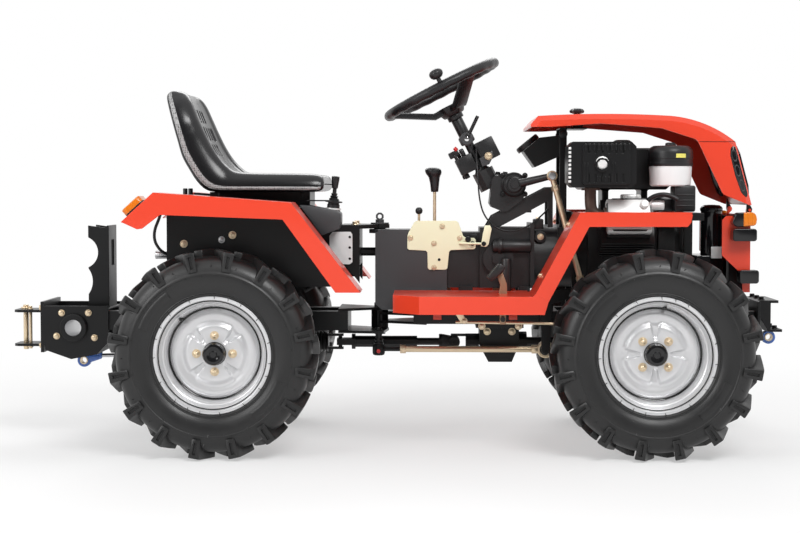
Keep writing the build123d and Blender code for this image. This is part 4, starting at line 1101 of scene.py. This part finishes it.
# Places in (x, y): the fuel tank's cap, the air cleaner's axis and the canister's axis
TANK_CAP, CLEANER, CANISTER = (695, -70), (820, -215), (968, -66)
MUFFLER_OUTLET = (608, -317, 548)
MUFFLER_RIBS = [
    # x, top
    (557, 548), (566, 548), (594, 508), (602, 508), (610, 508), (618, 508), (628, 508), (638, 548),
    (646, 548),
]


def make_engine():
    dress("engine_block", 2.0, CASTING, ROUND_ANGLE)
    made = bmesh.new()
    block(made, (-67, -53, 174 - AXLE_HEIGHT), (67, 53, 208.5 - AXLE_HEIGHT), 9, CYLINDER)
    bar(made, CYLINDER @ Vector((0.045, 0.03, 0.205)), CYLINDER @ Vector((0.045, 0.03, 0.222)), 12,
        sides=24, ease=2)
    settle("valve_cover", made, ALLOY, "front_half", "alloy")

    made = bmesh.new()
    for x in (-58, 58):
        for y in (-44, 44):
            hex_head(made, CYLINDER @ Vector((x * MM, y * MM, 0.18)), CYLINDER.to_3x3() @ Vector((0, 0, 1)),
                     11, 6)
    settle("valve_cover_bolts", made, STEEL, "front_half", "steel")

    dress("fuel_tank", 8.0, BLACK, ROUND_ANGLE)
    made = bmesh.new()
    spun(made, [(594, 0), (594, 30), (598, 31), (612, 30), (617, 27), (621, 18), (621, 0)],
         Matrix.Translation(at(*TANK_CAP, 0)), 40)
    cap = Vector(TANK_CAP) * MM
    for vert in made.verts:
        off = vert.co.xy - cap
        if off.length > 0.0285:
            lobe = 1 + 0.035 * math.cos(20 * math.atan2(off.y, off.x))
            vert.co.x, vert.co.y = cap.x + off.x * lobe, cap.y + off.y * lobe
    settle("fuel_cap", made, PLASTIC, "front_half", "plastic")

    dress("muffler", 4.0, BLACK, ROUND_ANGLE, paint=[(PIPE, lambda x, y, z: z < 475.5)])
    made = bmesh.new()
    for step in range(11):
        x = 560 + 12.6 * step
        block(made, (x - 3.2, -321, 583), (x + 3.2, -308, 603), 2)
    for x, top in MUFFLER_RIBS:
        block(made, (x - 2, -319.5, 493), (x + 2, -315, top), 1)
    outlet = facing(at(*MUFFLER_OUTLET), (0, -1, 0))
    spun(made, [(0, 23), (4, 23), (6, 21), (6, 17), (0, 17), (0, 23)], outlet, 40)
    settle("muffler_ridges", made, BLACK, "front_half", "muffler")
    made = bmesh.new()
    spun(made, [(0, 0), (0, 18.6), (6, 18.6), (8.5, 16), (10, 9), (10.4, 0)], outlet, 40)
    for step in range(9):
        block(made, (511, -311.2, 490 + 12 * step), (519, -309, 497 + 12 * step), 0.8)
    settle("muffler_bright_work", made, ALLOY, "front_half", "steel")
    made = bmesh.new()
    bent_bar(made,
             [(582, -243, 480), (582, -243, 440), (586, -243, 412), (602, -243, 396), (632, -243, 391)], 17)
    for x, z, look in ((582, 474, (0, 0, -1)), (628, 391, (-1, 0, 0))):
        spun(made, [(0, 0), (0, 27), (6, 27), (6, 0)], facing(at(x, -243, z), look), 32)
    settle("exhaust_pipe", made, PIPE, "front_half", "muffler")

    made = bmesh.new()
    cleaner = Matrix.Translation(at(*CLEANER, 0))
    spun(made, [(480, 0), (480, 55), (484, 60), (536, 63), (541, 62), (541, 0)], cleaner, 56)
    settle("air_cleaner_bowl", made, WHITE, "front_half", "white", "air_cleaner")
    made = bmesh.new()
    spun(made,
         [(539, 0), (539, 64), (542, 66), (548, 66), (549, 65), (560, 65), (561, 66), (578, 66), (588, 64),
          (595, 58), (599, 50), (599, 0)], cleaner, 56)
    spun(made, [(598, 0), (598, 14), (601, 16), (607, 15), (609, 9), (609, 0)], cleaner, 28)
    block(made, (826, -262, 405), (888, -172, 482), 6)
    block(made, (773, -214, 405), (830, -164, 442), 6)
    for z in (420, 436, 452):
        block(made, (832, -264, z), (884, -258, z + 5), 1.5)
    settle("air_cleaner_lid", made, PLASTIC, "front_half", "plastic")
    made = bmesh.new()
    spun(made, [(563, 65.4), (563, 66.9), (575, 66.9), (575, 65.4), (563, 65.4)],
         cleaner @ Matrix.Rotation(math.radians(-84), 4, "Z"), 10, math.radians(27))
    settle("air_cleaner_label", made, LABEL, "front_half", "plastic")

    made = bmesh.new()
    block(made, (716, -212, 392), (772, -150, 436), 8)
    bar(made, at(738, -230, 424), at(800, -230, 424), 15, sides=28, ease=3)
    bar(made, at(752, -246, 432), at(752, -214, 432), 11, sides=24, ease=2)
    bar(made, at(700, -196, 452), at(700, -196, 402), 9, sides=20, ease=2)
    block(made, (676, -216, 440), (734, -180, 456), 5)
    for x in (684, 726):
        hex_head(made, at(x, -216, 448), (0, -1, 0), 11, 6)
    settle("carburettor", made, ALLOY, "front_half", "alloy")

    made = bmesh.new()
    block(made, (920, -100, 107), (1000, 100, 270), 4)
    spun(made,
         [(268, 0), (268, 30), (272, 32), (404, 32), (407, 34.5), (413, 34.5), (418, 31), (423, 24),
          (424, 0)],
         Matrix.Translation(at(*CANISTER, 0)), 40)
    bar(made, at(*CANISTER, 418), at(*CANISTER, 424), 12, sides=20, ease=1)
    settle("canister_and_battery", made, GLOSS, "front_half", "plastic", "battery")
    made = bmesh.new()
    block(made, (962, -105, 262), (995, -97, 297), 1.5)
    settle("label_plate", made, WHITE, "front_half", "white")

    dress("gearbox", 3.0, CASTING, ROUND_ANGLE)
    made = bmesh.new()
    hex_head(made, at(446, -94, 327), (0, -1, 0), 13, 6)
    hex_head(made, at(440, -70, 380), (0, 0, 1), 14, 6, washer=False)
    settle("gearbox_bolts", made, ZINC, "front_half", "zinc")
    made = bmesh.new()
    bar(made, at(446, -60, 327), at(446, -94, 327), 18, sides=28, ease=2)
    bar(made, at(300, -92, 298), at(418, -92, 298), 20, sides=28, ease=4)
    bar(made, at(316, -92, 298), at(330, -92, 298), 25, sides=28, ease=3)
    bar(made, at(341, -122, 163), at(341, -122, 262), 15, sides=28, ease=3)
    block(made, (424, -84, 350), (456, -56, 381), 4)
    settle("gearbox_castings", made, CASTING, "front_half", "cast")


def make_dash():
    dress("dash_bracket", 2.0, BLACK)
    made = bmesh.new()
    gauge = facing(at(416, 0, 606), (-0.63, 0, 0.77))
    spun(made, [(0, 0), (0, 40), (12, 40), (16, 37), (16, 33), (11, 32), (11, 0)], gauge, 44)
    for side in (-1, 1):
        bar(made, at(516, side * 72, 640), at(516, side * 64, 640), 13, sides=24, ease=2)
    settle("gauge", made, PLASTIC, "front_half", "plastic")
    made = bmesh.new()
    spun(made, [(10.6, 32), (12, 32), (12.4, 0)], gauge, 44)
    settle("gauge_glass", made, GLOSS, "front_half", "gloss")


# Hitches

HITCH_BOLTS = [(-1015, 94), (-933, 94), (-1031, 23), (-915, 18)]
CROSS_TUBE_X, CROSS_TUBE_Z = -978, 49
DRAWBAR_PINS = [
    # x, y, radius, head's radius, lower end, top of the head, size of the nut on it
    (-1153, 0, 8, 15, -28, 104, 16),
    (-1133, -22, 5, 8, -24, 102, 10),
]


def in_cross_tube(x, y, z):
    """Whether a face lies on the wall of the cross tube's bore."""
    return abs(y) < 100 and 24 < math.hypot(x - CROSS_TUBE_X, z - CROSS_TUBE_Z) < 25.3


def make_hitches():
    dress("rear_hitch", 2.0, BLACK, ROUND_ANGLE, paint=[(STEEL, in_cross_tube)])
    made = bmesh.new()
    for side in (-1, 1):
        for x, z in HITCH_BOLTS:
            hex_head(made, at(x, side * 113, z), (0, side, 0), 13.5, 8)
    for y in (-85, 85):
        for z in (-8, 108):
            hex_head(made, at(-1080, y, z), (-1, 0, 0), 15, 8)
    for x, y, _, _, _, top, across in DRAWBAR_PINS:
        hex_head(made, at(x, y, top), (0, 0, 1), across, 7, washer=False)
    settle("rear_hitch_bolts", made, ZINC, "rear_half", "zinc")
    made = bmesh.new()
    for side in (-1, 1):
        spun(made, [(113, 34), (113, 42), (123, 42), (126, 39), (126, 27), (123, 25.4), (113, 34)],
             facing(at(CROSS_TUBE_X, 0, CROSS_TUBE_Z), (0, side, 0)), 48)
    settle("cross_tube_collars", made, BLACK, "rear_half", "black")

    made = bmesh.new()
    for x, y, radius, head, low, top, _ in DRAWBAR_PINS:
        bar(made, at(x, y, low), at(x, y, 99), radius, sides=24, ease=1)
        bar(made, at(x, y, 98), at(x, y, top), head, sides=28, ease=1)
        spun(made, [(-20, radius - 0.3), (-19, radius + 3), (-16, radius + 3), (-15, radius - 0.3)],
             Matrix.Translation(at(x, y, 0)), 24)
    settle("drawbar_pins", made, ZINC, "rear_half", "zinc", "hitch_pins")

    dress("lift_tower", 1.5, BLACK)
    dress("front_hitch", 1.5, BLACK)
    made = bmesh.new()
    for y in (-70, 0, 70):
        hex_head(made, at(1122, y, 134), (0, 0, 1), 14, 8)
        hex_head(made, at(1163, y, 46), (0, 0, 1), 14, 8)
    settle("front_hitch_bolts", made, BLACK, "front_half", "black")

    for name, x, z, body in (("front", 1158, 14, "front_half"), ("rear", -970, -62, "rear_half")):
        eye = facing(at(x, 0, z), (0, 1, 0))
        made = bmesh.new()
        spun(made, [(-12, 12.8), (-12, 18), (-9, 21), (9, 21), (12, 18), (12, 12.8), (-12, 12.8)], eye, 48)
        if name == "front":
            block(made, (1150, -12, 31), (1166, 12, 39), 2)
        else:
            bar(made, at(-954, 0, -56), at(-918, 0, -48), 14, tip=10, sides=28, ease=2)
            block(made, (-950, -10, -56), (-915, 10, -35), 3)
        settle(name + "_eye", made, BLUE, body, "blue", name + "_tow_eye")
        made = bmesh.new()
        spun(made, [(-14, 9.1), (-14, 12), (-12.5, 13), (12.5, 13), (14, 12), (14, 9.1), (-14, 9.1)],
             eye, 40)
        settle(name + "_eye_bush", made, ZINC, body, "zinc")
    made = bmesh.new()
    bar(made, at(-922, 0, -48), at(-566, 0, -40), 6, sides=18, ease=1)
    settle("rear_eye_rod", made, STEEL, "rear_half", "steel")


# Frame, sheet metal and the small pieces on it


def make_frame_and_body():
    for node, finish in (("front_frame", BLACK), ("rear_frame", BLACK), ("tunnel_box", GREY)):
        dress(node, 1.5, finish, ROUND_ANGLE)
    dress("rear_body", 1.2, BLACK)
    for node in ("floor_pan", "front_fenders", "rear_fenders", "nose_panel"):
        dress(node, 1.0, RED)

    made = bmesh.new()
    for side in (-1, 1):
        slab(made,
             [(-196, 243), (-196, 330), (-186, 342), (-132, 342), (-126, 334), (-126, 250), (-134, 243)],
             pair(side, 106, 108.5), 0.8)
    settle("joint_side_plates", made, WHITE, "rear_half", "white")
    made = bmesh.new()
    for side in (-1, 1):
        for z in (326, 294, 260):
            spun(made, [(0, 0), (0, 4), (0.6, 4), (0.6, 0)],
                 facing(at(-134, side * 108.4, z), (0, side, 0)), 16)
    settle("joint_side_plate_holes", made, BLACK, "rear_half", "black")

    made = bmesh.new()
    for side in (-1, 1):
        for x, z in ((-613, 311), (-470, 337)):
            hex_head(made, at(x, side * 280, z), (0, side, 0), 15, 7)
        hex_head(made, at(-120, side * 76, 363), (0, 0, 1), 15, 8)
    settle("rear_body_bolts", made, ZINC, "rear_half", "zinc")
    made = bmesh.new()
    for side in (-1, 1):
        hex_head(made, at(-502, side * 280, 323), (0, side, 0), 13, 6)
        bar(made, at(-700, side * 262, 278), at(-655, side * 262, 278), 12, sides=28, ease=1.5)
    settle("rear_body_plain_bolts", made, STEEL, "rear_half", "steel")

    made = bmesh.new()
    for side in (-1, 1):
        slab(made, [(147, 161.5), (169, 161.5), (224, 76), (212, 72), (202, 76)],
             pair(side, 240, 244), 1)
        for x, z in ((435.7, 215.9), (517.7, 367.2)):
            hex_head(made, at(x, side * 250, z), (-0.88, 0, 0.48), 12, 5)
    settle("brake_brackets_and_bolts", made, ZINC, "front_half", "zinc")

    made = bmesh.new()
    for side in (-1, 1):
        slab(made, [(403, 161.2), (404, 164), (412, 172.4), (414.4, 170.8)], pair(side, 190.5, 397), 0)
    settle("floor_corners", made, RED, "front_half", "red")


# Cables and hoses

CABLES = [
    # name, control points of its line, diameter, length, stiffness, body
    ("tail_lamp_cable", [(-692, -292, 446), (-682, -292, 430), (-677, -292, 408), (-684, -292, 384),
                         (-698, -291, 352), (-699, -289, 321), (-686, -285, 296), (-672, -277, 284),
                         (-661.5, -269, 278)], 9, 193, "medium", "rear_half"),
    ("throttle_cable",
     [(252, -33, 600), (251, -52, 586), (252, -80, 556), (256, -97, 510), (258, -99, 450), (272, -99, 392),
      (310, -99, 352), (360, -98, 340), (412, -98, 360), (444, -92, 386), (470, -72, 410)],
     5, 471.3, "medium", "front_half"),
    ("breather_hose", [(738, -246, 424), (746, -248, 436), (769, -252, 452), (797, -257, 456.5),
                       (824, -260, 449.5), (836, -262, 440)], 14, 113.5, "stiff", "front_half"),
]


def make_cables():
    for name, points, diameter, length, stiffness, body in CABLES:
        curve = bpy.data.curves.new(name, "CURVE")
        curve.dimensions = "3D"
        line = curve.splines.new("NURBS")
        line.points.add(len(points) - 1)
        for spot, point in zip(line.points, points):
            spot.co = (*at(*point), 1)
        line.order_u = 3
        line.use_endpoint_u = True
        line.resolution_u = 16
        curve.bevel_depth = diameter / 2 * MM
        curve.bevel_resolution = 4
        curve.use_fill_caps = True
        curve.materials.append(PLASTIC)
        piece = placed(name, curve)
        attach(piece, body)


make_wheels()
make_seat()
make_steering_wheel()
make_column()
make_steering_gear()
make_shift_gate()
make_lift_control()
make_pedals()
make_linkage()
make_shafts()
make_hood()
make_lamps()
make_engine()
make_dash()
make_hitches()
make_frame_and_body()
make_cables()


# Stage


def seen_rays(nodes, link, rays):
    """1 on the rays that see the background: the camera's, reflected ones and those through glass."""
    shiny = math_node(nodes, "MAXIMUM")
    seen = math_node(nodes, "MAXIMUM")
    link(rays.outputs["Is Glossy Ray"], shiny.inputs[0])
    link(rays.outputs["Is Transmission Ray"], shiny.inputs[1])
    link(rays.outputs["Is Camera Ray"], seen.inputs[0])
    link(shiny.outputs[0], seen.inputs[1])
    return seen.outputs[0]


def make_stage():
    """A pale floor that turns to the white of the background away from the tractor."""
    made = bmesh.new()
    bmesh.ops.create_grid(made, x_segments=1, y_segments=1, size=30)
    mesh = bpy.data.meshes.new("floor")
    made.to_mesh(mesh)
    made.free()
    floor = placed("floor", mesh)
    pale = bpy.data.materials.new("pale floor")
    pale.use_nodes = True
    nodes, link = pale.node_tree.nodes, pale.node_tree.links.new
    shader = nodes["Principled BSDF"]
    shader.inputs["Base Color"].default_value = (0.86, 0.86, 0.86, 1)
    shader.inputs["Roughness"].default_value = 0.85
    white = nodes.new("ShaderNodeEmission")
    white.inputs["Color"].default_value = (1, 1, 1, 1)
    place = nodes.new("ShaderNodeTexCoord")
    reach = nodes.new("ShaderNodeVectorMath")
    reach.operation = "LENGTH"
    fade = nodes.new("ShaderNodeMapRange")
    fade.interpolation_type = "SMOOTHSTEP"
    fade.inputs["From Min"].default_value = 1.2
    fade.inputs["From Max"].default_value = 3.0
    fade.inputs["To Min"].default_value = 0.4
    rays = nodes.new("ShaderNodeLightPath")
    share = math_node(nodes, "MULTIPLY")
    mix = nodes.new("ShaderNodeMixShader")
    link(place.outputs["Object"], reach.inputs[0])
    link(reach.outputs["Value"], fade.inputs["Value"])
    link(seen_rays(nodes, link, rays), share.inputs[0])
    link(fade.outputs["Result"], share.inputs[1])
    link(share.outputs[0], mix.inputs[0])
    link(shader.outputs[0], mix.inputs[1])
    link(white.outputs[0], mix.inputs[2])
    link(mix.outputs[0], nodes["Material Output"].inputs["Surface"])
    mesh.materials.append(pale)


def make_light(name, place, aim, size, power):
    lamp = bpy.data.lights.new(name, "AREA")
    lamp.shape = "RECTANGLE"
    lamp.size, lamp.size_y = size
    lamp.energy = power
    made = placed(name, lamp)
    made.location = place
    made.rotation_mode = "QUATERNION"
    made.rotation_quaternion = (Vector(aim) - Vector(place)).to_track_quat("-Z", "Y")


def make_world():
    """Even light that the camera sees as white; reflections see its near side dark."""
    world = bpy.data.worlds.new("studio")
    bpy.context.scene.world = world
    world.use_nodes = True
    nodes, link = world.node_tree.nodes, world.node_tree.links.new
    back = nodes["Background"]
    back.inputs["Color"].default_value = (0.95, 0.95, 0.95, 1)
    back.inputs["Strength"].default_value = 0.55
    white = nodes.new("ShaderNodeBackground")
    white.inputs["Color"].default_value = (1, 1, 1, 1)
    rays = nodes.new("ShaderNodeLightPath")
    place = nodes.new("ShaderNodeTexCoord")
    split = nodes.new("ShaderNodeSeparateXYZ")
    dusk = nodes.new("ShaderNodeMapRange")
    dusk.interpolation_type = "SMOOTHSTEP"
    dusk.inputs["From Min"].default_value = -0.95
    dusk.inputs["From Max"].default_value = -0.25
    dusk.inputs["To Min"].default_value = 0.12
    bright = math_node(nodes, "MAXIMUM")
    link(place.outputs["Generated"], split.inputs[0])
    link(split.outputs["Y"], dusk.inputs["Value"])
    link(dusk.outputs["Result"], bright.inputs[0])
    link(rays.outputs["Is Camera Ray"], bright.inputs[1])
    link(bright.outputs[0], white.inputs["Strength"])
    mix = nodes.new("ShaderNodeMixShader")
    link(seen_rays(nodes, link, rays), mix.inputs[0])
    link(back.outputs[0], mix.inputs[1])
    link(white.outputs[0], mix.inputs[2])
    link(mix.outputs[0], nodes["World Output"].inputs[0])


def make_camera():
    lens = bpy.data.cameras.new("camera")
    lens.lens = CAMERA_LENS_MM
    lens.sensor_width = 36
    made = placed("camera", lens)
    made.location = CAMERA_PLACE
    level = math.cos(CAMERA_PITCH)
    ahead = Vector((-math.sin(CAMERA_YAW) * level, math.cos(CAMERA_YAW) * level, -math.sin(CAMERA_PITCH)))
    made.rotation_mode = "QUATERNION"
    made.rotation_quaternion = ahead.to_track_quat("-Z", "Y")
    bpy.context.scene.camera = made


make_stage()
make_light("key", (1.8, -4.2, 4.4), (0, 0, 0.5), (2.6, 1.8), 195)
make_light("fill", (-3.6, -3.6, 2.6), (0, 0, 0.5), (2.4, 2.4), 98)
make_light("rim", (0.0, 4.0, 4.0), (0, 0, 0.7), (4.0, 2.0), 105)
make_world()
make_camera()
bpy.context.scene.view_settings.view_transform = "Standard"
